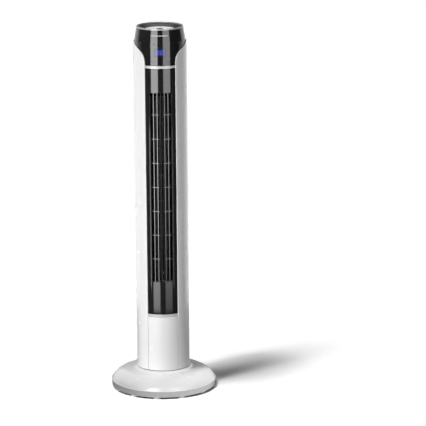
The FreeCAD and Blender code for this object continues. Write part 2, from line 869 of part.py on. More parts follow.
def make_control_head():
    """The gloss hood: a thin wall all round, windows for the display parts, posts for its board."""
    hood = head_solid(0, head_low, rim_low).cut(head_solid(shell_wall, head_low - 1, rim_low + 1))
    hood = hood.cut(cylinder(head_top_radius - shell_wall, rim_low - 2, rim_low + 2))
    hood = hood.cut(cylinder(inner_bore, head_low - 1, head_low + 1))
    posts = []
    for x, z in board_post_points():
        post = Part.makeCylinder(post_radius, 20, V(x, display_board_y() - 20, z), V(0, 1, 0))
        posts.append(post.common(head_solid(shell_wall / 2, head_low, rim_low)))
    hood = join(hood, *posts)
    gap = window_clearance
    cutters = [front_window(display_half_width + gap, display_low() - gap,
                            display_low() + display_height + gap, 0)]
    for side in (-1, 1):
        cutters.append(front_window(mark_width / 2 + gap, mark_low() - gap, mark_low() + mark_height + gap,
                                    side * mark_side))
    cutters.append(receiver_rod(receiver_radius + gap, 40, tower_radius))
    hood = hood.cut(cutters)
    return hood.cut(bar_mark_shape(bar_mark_clearance, 0))


def display_low():
    return overall_height - display_drop - display_height


def mark_low():
    return overall_height - mark_drop - mark_height


def head_wall(inset_out, inset_in):
    return head_solid(inset_out, head_low, rim_low).cut(head_solid(inset_in, head_low - 1, rim_low + 1))


def bar_mark_shape(clearance, proud):
    """A slim plain bar let into the hood's front."""
    z = overall_height - bar_mark_drop
    band = head_wall(-proud, shell_wall - bar_mark_depth)
    box = block(bar_mark_left - clearance, bar_mark_right + clearance, -tower_radius, -40,
                z - bar_mark_height / 2 - clearance, z + bar_mark_height / 2 + clearance)
    return band.common(box)


def make_display_window():
    return head_wall(0, shell_wall).common(
        front_window(display_half_width, display_low(), display_low() + display_height, 0))


def make_indicator_lenses():
    wall = head_wall(0, shell_wall)
    solids = []
    for side in (-1, 1):
        place = front_window(mark_width / 2, mark_low(), mark_low() + mark_height, side * mark_side)
        solids += wall.common(place).Solids
    return Part.makeCompound(solids)


def make_receiver_lens():
    wall = head_wall(0, shell_wall)
    return wall.common(receiver_rod(receiver_radius, 40, tower_radius))


def make_display_board():
    """The upright board behind the front of the head."""
    y = display_board_y()
    drop_low, drop_high = display_board_drops
    return block(-display_board_half, display_board_half, y, y + board_thickness,
                 overall_height - drop_low, overall_height - drop_high)


def make_display_module():
    """The lit digit block, on the display board, right behind its window."""
    y = display_board_y()
    half = display_half_width - 2
    front = math.sqrt((inner_bore - skin_gap) ** 2 - half ** 2)
    low = display_low() + 1
    return block(-half, half, -front, y, low, low + display_height - 2)


def make_rim_ring():
    """A polished ring on the hood's top edge, rounded outside and inside."""
    outer = head_top_radius
    inner = outer - rim_width
    ring = tube(outer, inner, rim_low, overall_height)
    edges = [e for e in ring.Edges if e.BoundBox.ZMin > overall_height - 0.01]
    return ring.makeFillet(rim_fillet, edges)


def tray_well_radius():
    return dial_radius + skin_gap


def make_top_tray():
    """The dished tray: its lip under the ring, a slope down to the well, a shelf for the dial."""
    lip = head_top_radius - shell_wall - skin_gap
    lip_in = head_top_radius - rim_width
    well = tray_well_radius()
    slope_top = rim_low - flat_gap
    slope_low = dial_top - tray_edge_drop
    shelf_top = dial_low
    bowl = turned_polygon(
        (lip, slope_top), (lip_in - tray_lip_overlap, slope_top), (well, slope_low), (well, shelf_top),
        (well - dial_shelf, shelf_top), (well - dial_shelf, shelf_top - tray_wall),
        (well + tray_wall, shelf_top - tray_wall), (well + tray_wall, slope_low - tray_wall),
        (lip, slope_top - tray_wall))
    posts = [cylinder(post_radius, board_top, shelf_top - tray_wall / 2, p.x, p.y) for p in tray_posts()]
    return join(bowl, *posts)


def tray_posts():
    return [at(tray_well_radius() - dial_shelf + post_radius, 120 * k) for k in range(3)]


# ---- dial and keys ----
def key_angles():
    return {"key_speed": 0.0, "key_timer": 90.0, "key_mode": 180.0, "key_swing": 270.0}


def key_shape(grow, low, high, angle):
    """An arc-shaped key, grown by a margin on every side."""
    inner = key_inner_radius - grow
    outer = key_outer_radius + grow
    body = tube(outer, inner, low, high)
    slant = math.radians(key_half_angle)
    reach = outer * 1.5
    # two straight ends, each moved outwards by the margin
    left = (-reach * math.sin(slant), -reach * math.cos(slant))
    right = (-left[0], left[1])
    apex = grow / math.sin(slant)
    half = prism([(0.0, apex), (left[0], left[1] + apex), (0.0, -reach * 1.2 + apex),
                  (right[0], right[1] + apex)], low - 1, high + 1)
    key = body.common(half)
    key.rotate(V(0, 0, 0), UP, angle)
    return key


def make_dial_plate():
    dial = cylinder(dial_radius, dial_low, dial_top)
    dial = dial.cut(cylinder(power_button_radius + key_gap, dial_low - 1, dial_top + 1))
    return dial.cut([key_shape(key_gap, dial_low - 1, dial_top + 1, a) for a in key_angles().values()])


def stem_low():
    return board_top + switch_height + key_travel + 0.2


def make_key(angle):
    """A key: cap through the dial, flange under it, stem down to its switch."""
    cap = key_shape(0, dial_low - flat_gap - 0.5, dial_top + key_proud, angle)
    flange_top = dial_low - flat_gap
    flange = key_shape(key_flange, flange_top - key_flange_thickness, flange_top, angle)
    p = at((key_inner_radius + key_outer_radius) / 2, angle)
    stem = cylinder(key_stem_radius, stem_low(), flange_top - 1, p.x, p.y)
    return join(cap, flange, stem)


def make_power_button():
    flange_top = dial_low - flat_gap
    cap = cylinder(power_button_radius, flange_top - 0.5, dial_top + key_proud)
    edges = [e for e in cap.Edges if e.BoundBox.ZMin > dial_top + key_proud - 0.01]
    cap = cap.makeFillet(0.6, edges)
    flange = cylinder(power_button_radius + key_flange, flange_top - key_flange_thickness, flange_top)
    stem = cylinder(key_stem_radius, stem_low(), flange_top - 1)
    return join(cap, flange, stem)


def make_control_board():
    """The round board under the dial, with one push switch for each key."""
    board = cylinder(tray_well_radius() + tray_wall, board_low, board_top)
    places = [V(0, 0, 0)]
    places += [at((key_inner_radius + key_outer_radius) / 2, angle) for angle in key_angles().values()]
    switches = []
    for p in places:
        switches.append(block(p.x - switch_half, p.x + switch_half, p.y - switch_half, p.y + switch_half,
                              board_top, board_top + switch_height))
    return join(board, *switches)


# ---- air path ----
def thick_wall(points, thickness, low, high):
    """An upright wall on the inner side of a row of (x, y) points, as a closed outline."""
    outer = []
    for i, (x, y) in enumerate(points):
        before = points[max(i - 1, 0)]
        after = points[min(i + 1, len(points) - 1)]
        along = V(after[0] - before[0], after[1] - before[1], 0)
        along.normalize()
        outer.append((x + along.y * thickness, y - along.x * thickness))
    return prism(points + outer[::-1], low, high)


def duct_mouth_point(side, radius):
    x = side * (window_half_width + duct_wall)
    return (x, -math.sqrt(radius ** 2 - x ** 2))


def make_air_duct():
    """The scroll: it winds out round the impeller from the rear to the air window's left edge."""
    low = motor_plate_top
    high = duct_top_low
    mouth = duct_mouth_point(-1, grille_inner - skin_gap)
    points = [mouth]
    steps = 14
    for k in range(steps + 1):
        share = 1 - k / steps
        angle = scroll_first_angle + (scroll_last_angle - scroll_first_angle) * share
        turn = math.radians(angle - scroll_first_angle)
        radius = (wheel_radius + scroll_gap) * math.exp(scroll_growth * turn)
        x, y = polar(radius, math.radians(angle))
        points.append((x, y + wheel_y))
    tail = at(inner_bore - 2 * duct_wall, 180 + 22)
    points.append((tail.x, tail.y))
    wall = thick_wall(points[::-1], duct_wall, low, high)
    return wall.common(cylinder(inner_bore - skin_gap, low, high)).cut(grille_room(low, high))


def make_duct_tongue():
    """The cut-off wall: from the air window's right edge back to the impeller, then to the side."""
    low = motor_plate_top
    high = duct_top_low
    nose_radius = wheel_radius + tongue_gap
    x, y = polar(nose_radius, math.radians(tongue_nose_angle))
    nose = (x, y + wheel_y)
    tail = (inner_bore * 0.97, nose[1] + 6)
    points = [duct_mouth_point(1, grille_inner - skin_gap), (nose[0] + 1.5, nose[1] - 9), nose,
              (nose[0] + 6, nose[1] + 2.5), tail]
    wall = thick_wall(points, duct_wall, low, high)
    return wall.common(cylinder(inner_bore - skin_gap, low, high)).cut(grille_room(low, high))


def make_duct_top_plate():
    """Closes the duct's top and holds the impeller's upper bush."""
    plate = cylinder(inner_bore - plate_lip, duct_top_low, duct_top_low + plate_thickness)
    plate = plate.cut(grille_room(duct_top_low, duct_top_low + plate_thickness))
    holder = cylinder(bush_radius + bush_wall, bush_low(), bush_top(), 0, wheel_y)
    plate = join(plate, holder)
    return plate.cut(cylinder(bush_radius + press_gap, bush_low() - 1, bush_top() + 1, 0, wheel_y))


def grille_room(low, high):
    """The space that the grille's frame takes, with its clearance."""
    half = window_half_width + grille_frame_width + skin_gap
    return front_strip(tower_radius, grille_inner - skin_gap, half, low - 1, high + 1)


def bush_low():
    return duct_top_low - bush_below


def bush_top():
    return duct_top_low + plate_thickness + bush_above


def make_top_bush():
    return tube(bush_radius, top_pin_radius + running_gap, bush_low(), bush_top(), 0, wheel_y)


def motor_ear_points():
    circle = motor_radius + motor_ear_reach
    ears = [polar(circle, math.radians(45 + 90 * k)) for k in range(4)]
    return [(x, y + wheel_y) for x, y in ears]


def make_motor_plate():
    plate = cylinder(inner_bore - plate_lip, motor_plate_low, motor_plate_top)
    plate = plate.cut(cylinder(wheel_hub_radius + 3, motor_plate_low - 1, motor_plate_top + 1, 0, wheel_y))
    for x, y in motor_ear_points():
        plate = plate.cut(cylinder(screw_radius + screw_gap, motor_plate_low - 1, motor_plate_top + 1, x, y))
    return plate


# ---- impeller ----
def blade_outline(turn):
    """One curved blade in plan, as a closed face at height zero."""
    inner = wheel_radius - blade_depth

    def point(radius, extra):
        x, y = polar(radius, turn + extra)
        return V(x, y + wheel_y, 0)
    half = blade_thickness / 2
    middle = (inner + wheel_radius) / 2
    front = arc(point(inner, -half / inner), point(middle, blade_bend - half / middle),
                point(wheel_radius, -half / wheel_radius))
    back = arc(point(wheel_radius, half / wheel_radius), point(middle, blade_bend + half / middle),
               point(inner, half / inner))
    tip = line(point(wheel_radius, -half / wheel_radius), point(wheel_radius, half / wheel_radius))
    root = line(point(inner, half / inner), point(inner, -half / inner))
    return Part.Face(Part.Wire([front, tip, back, root]))


def wheel_disc_heights():
    pitch = (wheel_top - wheel_low) / wheel_segments
    return [wheel_low + k * pitch for k in range(wheel_segments + 1)]


def make_impeller():
    """A cross-flow wheel: rings of curved blades between discs, with a hub at the bottom."""
    discs = []
    for k, z in enumerate(wheel_disc_heights()):
        disc = cylinder(wheel_radius + wheel_disc_proud, z - wheel_disc / 2, z + wheel_disc / 2, 0, wheel_y)
        if 0 < k < wheel_segments:
            disc = disc.cut(cylinder(wheel_radius - blade_depth - 4, z - 2, z + 2, 0, wheel_y))
        discs.append(disc)
    blades = []
    for k in range(blade_count):
        face = blade_outline(2 * math.pi * k / blade_count)
        face.translate(V(0, 0, wheel_low))
        blades.append(face.extrude(V(0, 0, wheel_top - wheel_low)))
    hub = cylinder(wheel_hub_radius, wheel_low - 4, wheel_low + wheel_hub_height, 0, wheel_y)
    top_hub = cylinder(wheel_hub_radius, wheel_top - 8, wheel_top + 1, 0, wheel_y)
    pin = cylinder(top_pin_radius, wheel_top, bush_low() + 9, 0, wheel_y)
    wheel = discs[0].fuse(discs[1:] + blades + [hub, top_hub, pin])
    bore = cylinder(motor_shaft_radius + press_gap, wheel_low - 5,
                    wheel_low + wheel_hub_height - 2, 0, wheel_y)
    return wheel.cut([bore, set_screw_rod(set_screw_radius + running_gap, 0)])


def set_screw_rod(radius, gap):
    start = wheel_y - wheel_hub_radius
    z = wheel_low + wheel_hub_height - set_screw_drop
    length = wheel_hub_radius - motor_shaft_radius - gap
    return Part.makeCylinder(radius, length, V(0, start, z), V(0, 1, 0))


def make_set_screw():
    return set_screw_rod(set_screw_radius, screw_gap)


def make_motor_shaft():
    return cylinder(motor_shaft_radius, motor_low + 2, wheel_low + wheel_hub_height - 3, 0, wheel_y)


def stator_low():
    return (motor_low + motor_top) / 2 - stator_height / 2


def make_motor_rotor():
    low = stator_low() - 1
    return tube(rotor_radius, motor_shaft_radius + press_gap, low, low + stator_height + 2, 0, wheel_y)


def make_motor_stator():
    low = stator_low()
    core = tube(motor_radius, rotor_radius + rotor_gap, low, low + stator_height, 0, wheel_y)
    coils = tube(rotor_radius + coil_width, rotor_radius + rotor_gap + 1, low - coil_proud,
                 low + stator_height + coil_proud, 0, wheel_y)
    return join(core, coils)


def make_motor_bell(upper):
    """A pressed end cup with a bearing seat in its middle; the upper one has the mounting ears."""
    sign = 1 if upper else -1
    face = motor_top if upper else motor_low
    edge = stator_low() + (stator_height if upper else 0)
    low, high = sorted((face, edge))
    cup = cylinder(motor_radius, low, high, 0, wheel_y)
    hollow_low = low - 1 if upper else low + bell_wall
    hollow_high = high - bell_wall if upper else high + 1
    cup = cup.cut(cylinder(motor_radius - bell_wall, hollow_low, hollow_high, 0, wheel_y))
    seat_low, seat_high = sorted((face, face - sign * (bearing_height + 1)))
    parts = [cup, cylinder(bearing_radius + 2, seat_low, seat_high, 0, wheel_y)]
    if upper:
        for x, y in motor_ear_points():
            parts.append(cylinder(motor_ear_half, face - bell_wall, face, x, y))
    bell = join(*parts)
    bore_low, bore_high = sorted((face - sign * bell_wall, face - sign * (bearing_height + 2)))
    bell = bell.cut(cylinder(bearing_radius + press_gap, bore_low, bore_high, 0, wheel_y))
    bell = bell.cut(cylinder(motor_shaft_radius + 0.5, low - 1, high + 1, 0, wheel_y))
    if upper:
        for x, y in motor_ear_points():
            bell = bell.cut(cylinder(screw_radius + screw_gap, low - 1, high + 1, x, y))
    return bell


def make_motor_bearings():
    rings = []
    for sign, face in ((1, motor_top), (-1, motor_low)):
        low, high = sorted((face - sign * (bell_wall + 0.1), face - sign * bearing_height))
        rings.append(tube(bearing_radius, motor_shaft_radius + running_gap, low, high, 0, wheel_y))
    return Part.makeCompound(rings)


def make_motor_grommets():
    return Part.makeCompound([tube(grommet_radius, screw_radius + screw_gap, motor_top, motor_plate_low, x, y)
                              for x, y in motor_ear_points()])


def make_motor_screws():
    seat = motor_top - bell_wall
    return Part.makeCompound([screw(x, y, seat, motor_plate_top - 0.3) for x, y in motor_ear_points()])


# ---- power parts ----
def power_board_back():
    return power_board_y + board_thickness


def power_board_posts():
    return [(x, power_board_low + rise) for x in (-power_post_side, power_post_side)
            for rise in (power_post_inset, power_board_height - power_post_inset)]


def make_power_board():
    """The mains board on four posts of the rear housing, with its taller parts."""
    half = power_board_width / 2
    board = block(-half, half, power_board_y, power_board_back(), power_board_low,
                  power_board_low + power_board_height)
    taller = [on_power_board(box, power_board_y) for box in (transformer_box, relay_box, terminal_box)]
    return join(board, *taller)


def on_power_board(box, face):
    left, right, reach, low, high = box
    return block(left, right, face - reach, face, power_board_low + low, power_board_low + high)


def make_run_capacitor():
    return on_power_board(capacitor_box, power_board_y - flat_gap)


# ---- every piece ----
save("base_cover", make_base_cover())
save("base_plate", make_base_plate())
save("feet", make_feet())
save("base_screws", make_base_screws())
save("cable_gland", make_cable_gland())
save("pivot_spindle", make_pivot_spindle())
save("spindle_screws", make_spindle_screws())
save("slide_ring", make_slide_ring())
save("thrust_washer", make_thrust_washer())
save("sector_gear", make_sector_gear())
save("spindle_nut", make_spindle_nut())
save("turntable", make_turntable())
save("turntable_screws", make_turntable_screws())
save("swing_motor", make_swing_motor())
save("swing_motor_screws", make_swing_motor_screws())
save("swing_pinion", make_swing_pinion())
save("swing_motor_shaft", make_swing_motor_shaft())
save("right_side_shell", make_side_shell(1))
save("left_side_shell", make_side_shell(-1))
save("rear_housing", make_rear_housing())
save("housing_screws", make_housing_screws())
save("handle_recess", make_handle_recess())
save("lower_front_panel", make_lower_front_panel())
save("lower_trim_strip", make_trim_strip(lower_panel_top, black_low))
save("upper_trim_strip", make_trim_strip(black_top, head_low))
save("front_bezel", make_front_bezel())
save("louvre_grid", make_louvre_grid())
save("control_head", make_control_head())
save("front_accent_bar", bar_mark_shape(0, bar_mark_proud))
save("display_window", make_display_window())
save("display_module", make_display_module())
save("display_board", make_display_board())
save("indicator_lenses", make_indicator_lenses())
save("receiver_lens", make_receiver_lens())
save("top_rim_ring", make_rim_ring())
save("top_tray", make_top_tray())
save("dial_plate", make_dial_plate())
save("power_button", make_power_button())
for key_name, key_angle in key_angles().items():
    save(key_name, make_key(key_angle))
save("control_board", make_control_board())
save("air_duct", make_air_duct())
save("duct_tongue", make_duct_tongue())
save("duct_top_plate", make_duct_top_plate())
save("top_bush", make_top_bush())
save("motor_plate", make_motor_plate())
save("impeller", make_impeller())
save("impeller_set_screw", make_set_screw())
save("motor_shaft", make_motor_shaft())
save("motor_rotor", make_motor_rotor())
save("motor_stator", make_motor_stator())
save("motor_upper_bell", make_motor_bell(True))
save("motor_lower_bell", make_motor_bell(False))
save("motor_bearings", make_motor_bearings())
save("motor_grommets", make_motor_grommets())
save("motor_screws", make_motor_screws())
save("power_board", make_power_board())
save("run_capacitor", make_run_capacitor())
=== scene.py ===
import bmesh
import bpy
import json
import math
from mathutils import Matrix, Vector


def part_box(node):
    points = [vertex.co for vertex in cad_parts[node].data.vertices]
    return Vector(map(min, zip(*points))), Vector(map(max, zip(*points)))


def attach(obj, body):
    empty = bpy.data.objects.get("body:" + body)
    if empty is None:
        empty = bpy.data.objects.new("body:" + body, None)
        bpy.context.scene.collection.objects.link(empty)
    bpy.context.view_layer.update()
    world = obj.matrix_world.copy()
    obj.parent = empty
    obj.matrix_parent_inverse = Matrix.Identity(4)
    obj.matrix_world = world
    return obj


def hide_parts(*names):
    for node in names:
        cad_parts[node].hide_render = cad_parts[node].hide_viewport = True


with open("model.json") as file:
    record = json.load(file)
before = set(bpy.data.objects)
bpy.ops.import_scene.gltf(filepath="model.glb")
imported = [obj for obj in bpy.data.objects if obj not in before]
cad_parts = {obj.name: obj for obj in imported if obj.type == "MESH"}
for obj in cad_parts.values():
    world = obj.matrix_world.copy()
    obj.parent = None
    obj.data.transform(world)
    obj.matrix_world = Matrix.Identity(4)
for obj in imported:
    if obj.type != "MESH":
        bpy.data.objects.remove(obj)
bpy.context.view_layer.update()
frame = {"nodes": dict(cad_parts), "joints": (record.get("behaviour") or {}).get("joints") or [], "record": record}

mm = 0.001

# ---- base cover ----
# The round foot: one deep dish of glossy white plastic, moulded upside down, with a drafted
# band round its side, a dome and a low collar under the tower. Its upper faces carry a
# trace of dust.


def corners(node):
    """The lowest and the highest corner of a CAD node's box."""
    return [Vector(corner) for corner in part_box(node)]


base_low, base_high = corners("base_cover")
rim_radius = base_high.x
band_height = 19 * mm
band_taper = 1.5 * mm
rim_round = 1.5 * mm
base_wall = 3 * mm
dome_end_radius = 92 * mm
collar_radius = 80 * mm
dome_drop = 5 * mm
spindle_hole = 14.3 * mm
cord_hole = 6.1 * mm


def bezier_points(poles, steps):
    """Points along a Bezier curve of any degree, both ends included."""
    points = []
    for step in range(steps + 1):
        share = step / steps
        row = [Vector(pole) for pole in poles]
        while len(row) > 1:
            row = [a.lerp(b, share) for a, b in zip(row, row[1:])]
        points.append(tuple(row[0]))
    return points


def arc_points(centre, radius, first, last, steps):
    """Points on an arc in the half-plane of an outline, angles in degrees."""
    turns = [math.radians(first + (last - first) * step / steps) for step in range(steps + 1)]
    return [(centre[0] + radius * math.cos(t), centre[1] + radius * math.sin(t)) for t in turns]


def bare_piece(name, builder):
    """A named object at the origin, from a bmesh as it is."""
    mesh = bpy.data.meshes.new(name)
    builder.to_mesh(mesh)
    builder.free()
    piece = bpy.data.objects.new(name, mesh)
    bpy.context.scene.collection.objects.link(piece)
    return piece


def new_piece(name, builder):
    """The same, with doubles merged and the normals of closed shells turned outwards."""
    bmesh.ops.remove_doubles(builder, verts=builder.verts, dist=1e-7)
    bmesh.ops.recalc_face_normals(builder, faces=builder.faces)
    return bare_piece(name, builder)


def spun(name, outline, steps=160, centre=(0.0, 0.0)):
    """A closed (radius, height) outline, turned once round an upright axis."""
    builder = bmesh.new()
    rings = []
    for radius, height in outline:
        if radius < 1e-6:
            rings.append([builder.verts.new((centre[0], centre[1], height))] * steps)
            continue
        turns = [2 * math.pi * step / steps for step in range(steps)]
        spots = [(centre[0] + radius * math.cos(t), centre[1] + radius * math.sin(t), height) for t in turns]
        rings.append([builder.verts.new(spot) for spot in spots])
    for lower, upper in zip(rings, rings[1:] + rings[:1]):
        for step in range(steps):
            after = (step + 1) % steps
            corners = [lower[step], lower[after], upper[after], upper[step]]
            corners = [v for i, v in enumerate(corners) if v not in corners[:i]]
            if len(corners) > 2:
                builder.faces.new(corners)
    return new_piece(name, builder)


def settled(piece):
    """Turns the piece and its modifiers into one plain mesh."""
    graph = bpy.context.evaluated_depsgraph_get()
    mesh = bpy.data.meshes.new_from_object(piece.evaluated_get(graph))
    piece.modifiers.clear()
    piece.data = mesh
    mesh.name = piece.name
    return piece


def rounded(piece, width, segments=2, sharpest=35):
    """Rounds the sharp edges, then shades the broad faces true and the edges soft."""
    bevel = piece.modifiers.new("edge_round", "BEVEL")
    bevel.width = width
    bevel.segments = segments
    bevel.limit_method = "ANGLE"
    bevel.angle_limit = math.radians(sharpest)
    bevel.use_clamp_overlap = True
    settled(piece)
    piece.data.shade_smooth()
    weigh = piece.modifiers.new("face_weights", "WEIGHTED_NORMAL")
    weigh.mode = "FACE_AREA"
    weigh.weight = 60
    return settled(piece)


def softened(piece, sharpest):
    """Shades the piece smooth, but for edges sharper than an angle in degrees."""
    piece.data.shade_smooth()
    piece.data.set_sharp_from_angle(angle=math.radians(sharpest))
    return piece


def drill(piece, cutter):
    """Takes the cutter's room out of the piece, and the cutter away."""
    hole = piece.modifiers.new("hole", "BOOLEAN")
    hole.object = cutter
    hole.operation = "DIFFERENCE"
    hole.solver = "EXACT"
    settled(piece)
    bpy.data.objects.remove(cutter)
    return piece


def rod(name, start, end, radius, steps=32):
    """A round rod between two points, closed at both ends."""
    builder = bmesh.new()
    along = Vector(end) - Vector(start)
    turn = along.to_track_quat("Z", "Y").to_matrix().to_4x4()
    place = Matrix.Translation((Vector(start) + Vector(end)) / 2) @ turn
    bmesh.ops.create_cone(builder, cap_ends=True, segments=steps, radius1=radius, radius2=radius,
                          depth=along.length, matrix=place)
    return new_piece(name, builder)


def add_node(tree, kind, *placed, **named):
    """Adds a node to a tree and gives back its outputs. Its sockets are filled by order or
    by name, with a value or with another node's output. A name in small letters is one of
    the node's own settings."""
    node = tree.nodes.new(kind)
    for name in [name for name in named if name.islower()]:
        setattr(node, name, named.pop(name))
    sockets = list(zip(node.inputs, placed))
    sockets += [(node.inputs[name.replace("_", " ")], value) for name, value in named.items()]
    for socket, value in sockets:
        if isinstance(value, bpy.types.NodeSocket):
            tree.links.new(value, socket)
        elif value is not None:
            socket.default_value = value
    return node.outputs


def new_tree(name, kind, outputs, **inputs):
    """A node tree with named inputs and outputs, and the node that gives its inputs."""
    tree = bpy.data.node_groups.new(name, kind)
    for way, sockets in (("INPUT", inputs), ("OUTPUT", outputs)):
        for socket, value in sockets.items():
            tree.interface.new_socket(socket.replace("_", " "), in_out=way, socket_type="NodeSocket" + value)
    return tree, add_node(tree, "NodeGroupInput")


def finish_tree(name, **own_inputs):
    """A finish's tree, with the inputs that every finish has and some of its own."""
    return new_tree(name, "ShaderNodeTree", {"Colour": "Color", "Roughness": "Float", "Normal": "Vector"},
                    Main_colour="Color", Second_colour="Color", Smoothest="Float", Roughest="Float",
                    Relief_height="Float", **own_inputs)


def end_finish(tree, given, mask, relief):
    """Ends a finish's tree: a mask mixes colours and gloss, and a relief bends the normals."""
    colour = add_node(tree, "ShaderNodeMix", data_type="RGBA", Factor=mask, A=given["Main colour"],
                      B=given["Second colour"])
    rough = add_node(tree, "ShaderNodeMix", Factor=mask, A=given["Smoothest"], B=given["Roughest"])
    bump = add_node(tree, "ShaderNodeBump", Height=relief, Distance=given["Relief height"])
    add_node(tree, "NodeGroupOutput", Colour=colour["Result"], Roughness=rough["Result"],
             Normal=bump["Normal"])
    return tree


def surface_group():
    """Moulded or sprayed skin: faint patches of colour and gloss, over a fine ripple."""
    tree, given = finish_tree("fine_surface", Patch_scale="Float", Ripple_scale="Float", Dust="Float")
    place = add_node(tree, "ShaderNodeTexCoord")["Object"]
    patches = add_node(tree, "ShaderNodeTexNoise", Vector=place, Scale=given["Patch scale"],
                       Detail=5.0)["Fac"]
    spread = add_node(tree, "ShaderNodeMapRange", Value=patches, From_Min=0.32, From_Max=0.68)["Result"]
    # dust lies where the surface looks up
    facing = add_node(tree, "ShaderNodeNewGeometry")["Normal"]
    upward = add_node(tree, "ShaderNodeSeparateXYZ", Vector=facing)["Z"]
    settle = add_node(tree, "ShaderNodeMapRange", Value=upward, From_Min=0.55, From_Max=1.0)["Result"]
    specks = add_node(tree, "ShaderNodeTexNoise", Vector=place, Scale=900.0)["Fac"]
    dusty = add_node(tree, "ShaderNodeMath", settle, specks, operation="MULTIPLY")["Value"]
    amount = add_node(tree, "ShaderNodeMath", dusty, given["Dust"], operation="MULTIPLY")["Value"]
    wear = add_node(tree, "ShaderNodeMath", spread, amount, operation="ADD", use_clamp=True)["Value"]
    ripple = add_node(tree, "ShaderNodeTexNoise", Vector=place, Scale=given["Ripple scale"],
                      Detail=2.0)["Fac"]
    return end_finish(tree, given, wear, ripple)


fine_surface = surface_group()


def grey(level):
    return (level, level, level, 1.0)


def new_finish(name, group, constants, **values):
    """A material whose shader takes its varying parts from a group, and the rest as constants."""
    material = bpy.data.materials.new(name)
    material.use_nodes = True
    tree = material.node_tree
    shader = tree.nodes["Principled BSDF"]
    for socket, value in constants.items():
        shader.inputs[socket.replace("_", " ")].default_value = value
    pattern = add_node(tree, "ShaderNodeGroup", node_tree=group, **values)
    for output, socket in (("Colour", "Base Color"), ("Roughness", "Roughness"), ("Normal", "Normal")):
        tree.links.new(pattern[output], shader.inputs[socket])
    return material


def moulded(name, clean, worn, smoothest, roughest, patches=14.0, ripples=650.0, height=2.5e-6, dust=0.0,
            **constants):
    """A plastic, rubber or paint on the fine surface group."""
    return new_finish(name, fine_surface, constants, Main_colour=clean, Second_colour=worn,
                      Smoothest=smoothest, Roughest=roughest, Relief_height=height, Patch_scale=patches,
                      Ripple_scale=ripples, Dust=dust)


def place_piece(piece, material, body, slot_name, *nodes):
    """Gives a finished piece its material and its body, and hides the CAD nodes that it stands for."""
    if material is not None:
        piece.data.materials.clear()
        piece.data.materials.append(material)
    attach(piece, body)
    if nodes:
        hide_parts(*nodes)


def base_outline(inset):
    """The dish's line from the foot of the band up to the collar, shrunk by an inset."""
    side = rim_radius - inset
    band_top = base_low.z + band_height - inset
    dome_start = side - rim_round
    dome_end = dome_end_radius - inset
    dome_top = base_high.z - dome_drop
    lift = dome_top - base_low.z - band_height
    points = [(side - band_taper, base_low.z)]
    points += arc_points((dome_start, band_top - rim_round), rim_round, 0, 90, 6)
    points += bezier_points([(dome_start, band_top), (dome_start - lift * 0.42, band_top + lift * 0.82),
                             (dome_end, dome_top - inset)], 40)[1:]
    points += bezier_points([(dome_end, dome_top - inset),
                             ((dome_end + collar_radius - inset) / 2, dome_top - inset + 0.8 * mm),
                             (collar_radius - inset, base_high.z - inset)], 10)[1:]
    return points


gloss_white = moulded("gloss_white", grey(0.77), grey(0.74), 0.20, 0.28, dust=0.25, Coat_Weight=0.3,
                      Coat_Roughness=0.06, IOR=1.5)
outside = base_outline(0) + [(spindle_hole, base_high.z)]
inside = base_outline(base_wall) + [(spindle_hole, base_high.z - base_wall)]
base_dish = spun("base_dish", outside + inside[::-1], 192)
cord_height = frame["record"]["mounts"][1]["pos_m"][2]
cord_ends = [(0, rim_radius + shift, cord_height) for shift in (-20 * mm, 10 * mm)]
drill(base_dish, rod("cord_room", *cord_ends, cord_hole))
rounded(base_dish, 0.4 * mm)
place_piece(base_dish, gloss_white, "base", "white_gloss", "base_cover")

# ---- feet ----
# Twelve soft pads of pale rubber, glued in a ring under the base plate. Each is a short
# disc with a rounded lower edge, and is a little grey where it has rubbed on the floor.
foot_low, foot_high = corners("feet")
foot_radius = 10 * mm
foot_circle = rim_radius - 12 * mm
foot_count = 12
foot_first_angle = math.radians(-8)


def end_copies(tree, given, copies):
    """Ends a geometry tree: real meshes in place of copies, in the given material."""
    real = add_node(tree, "GeometryNodeRealizeInstances", Geometry=copies)["Geometry"]
    painted = add_node(tree, "GeometryNodeSetMaterial", Geometry=real, Material=given["Material"])["Geometry"]
    add_node(tree, "NodeGroupOutput", Geometry=painted)
    return tree


def copied(tree, points, piece):
    """A copy of a mesh at each point."""
    return add_node(tree, "GeometryNodeInstanceOnPoints", Points=points, Instance=piece)["Instances"]


def ring_tree():
    """Copies a piece round an upright axis, the first copy where the piece is."""
    tree, given = new_tree("ring_of_pieces", "GeometryNodeTree", {"Geometry": "Geometry"},
                           Geometry="Geometry", Count="Int", Centre="Vector", Material="Material")
    points = add_node(tree, "GeometryNodeMeshLine", Count=given["Count"], Offset=(0, 0, 0))["Mesh"]
    copies = copied(tree, points, given["Geometry"])
    index = add_node(tree, "GeometryNodeInputIndex")["Index"]
    share = add_node(tree, "ShaderNodeMath", index, given["Count"], operation="DIVIDE")["Value"]
    angle = add_node(tree, "ShaderNodeMath", share, 2 * math.pi, operation="MULTIPLY")["Value"]
    turn = add_node(tree, "ShaderNodeCombineXYZ", Z=angle)["Vector"]
    spread = add_node(tree, "GeometryNodeRotateInstances", Instances=copies, Rotation=turn,
                      Pivot_Point=given["Centre"], Local_Space=False)["Instances"]
    return end_copies(tree, given, spread)


ring_of_pieces = ring_tree()


def grown(piece, tree, **values):
    """Runs a node tree on the piece with these inputs and keeps the mesh that it makes."""
    grower = piece.modifiers.new(tree.name, "NODES")
    grower.node_group = tree
    sockets = {item.name: item.identifier for item in tree.interface.items_tree if item.in_out == "INPUT"}
    for name, value in values.items():
        grower[sockets[name.replace("_", " ")]] = value
    return settled(piece)


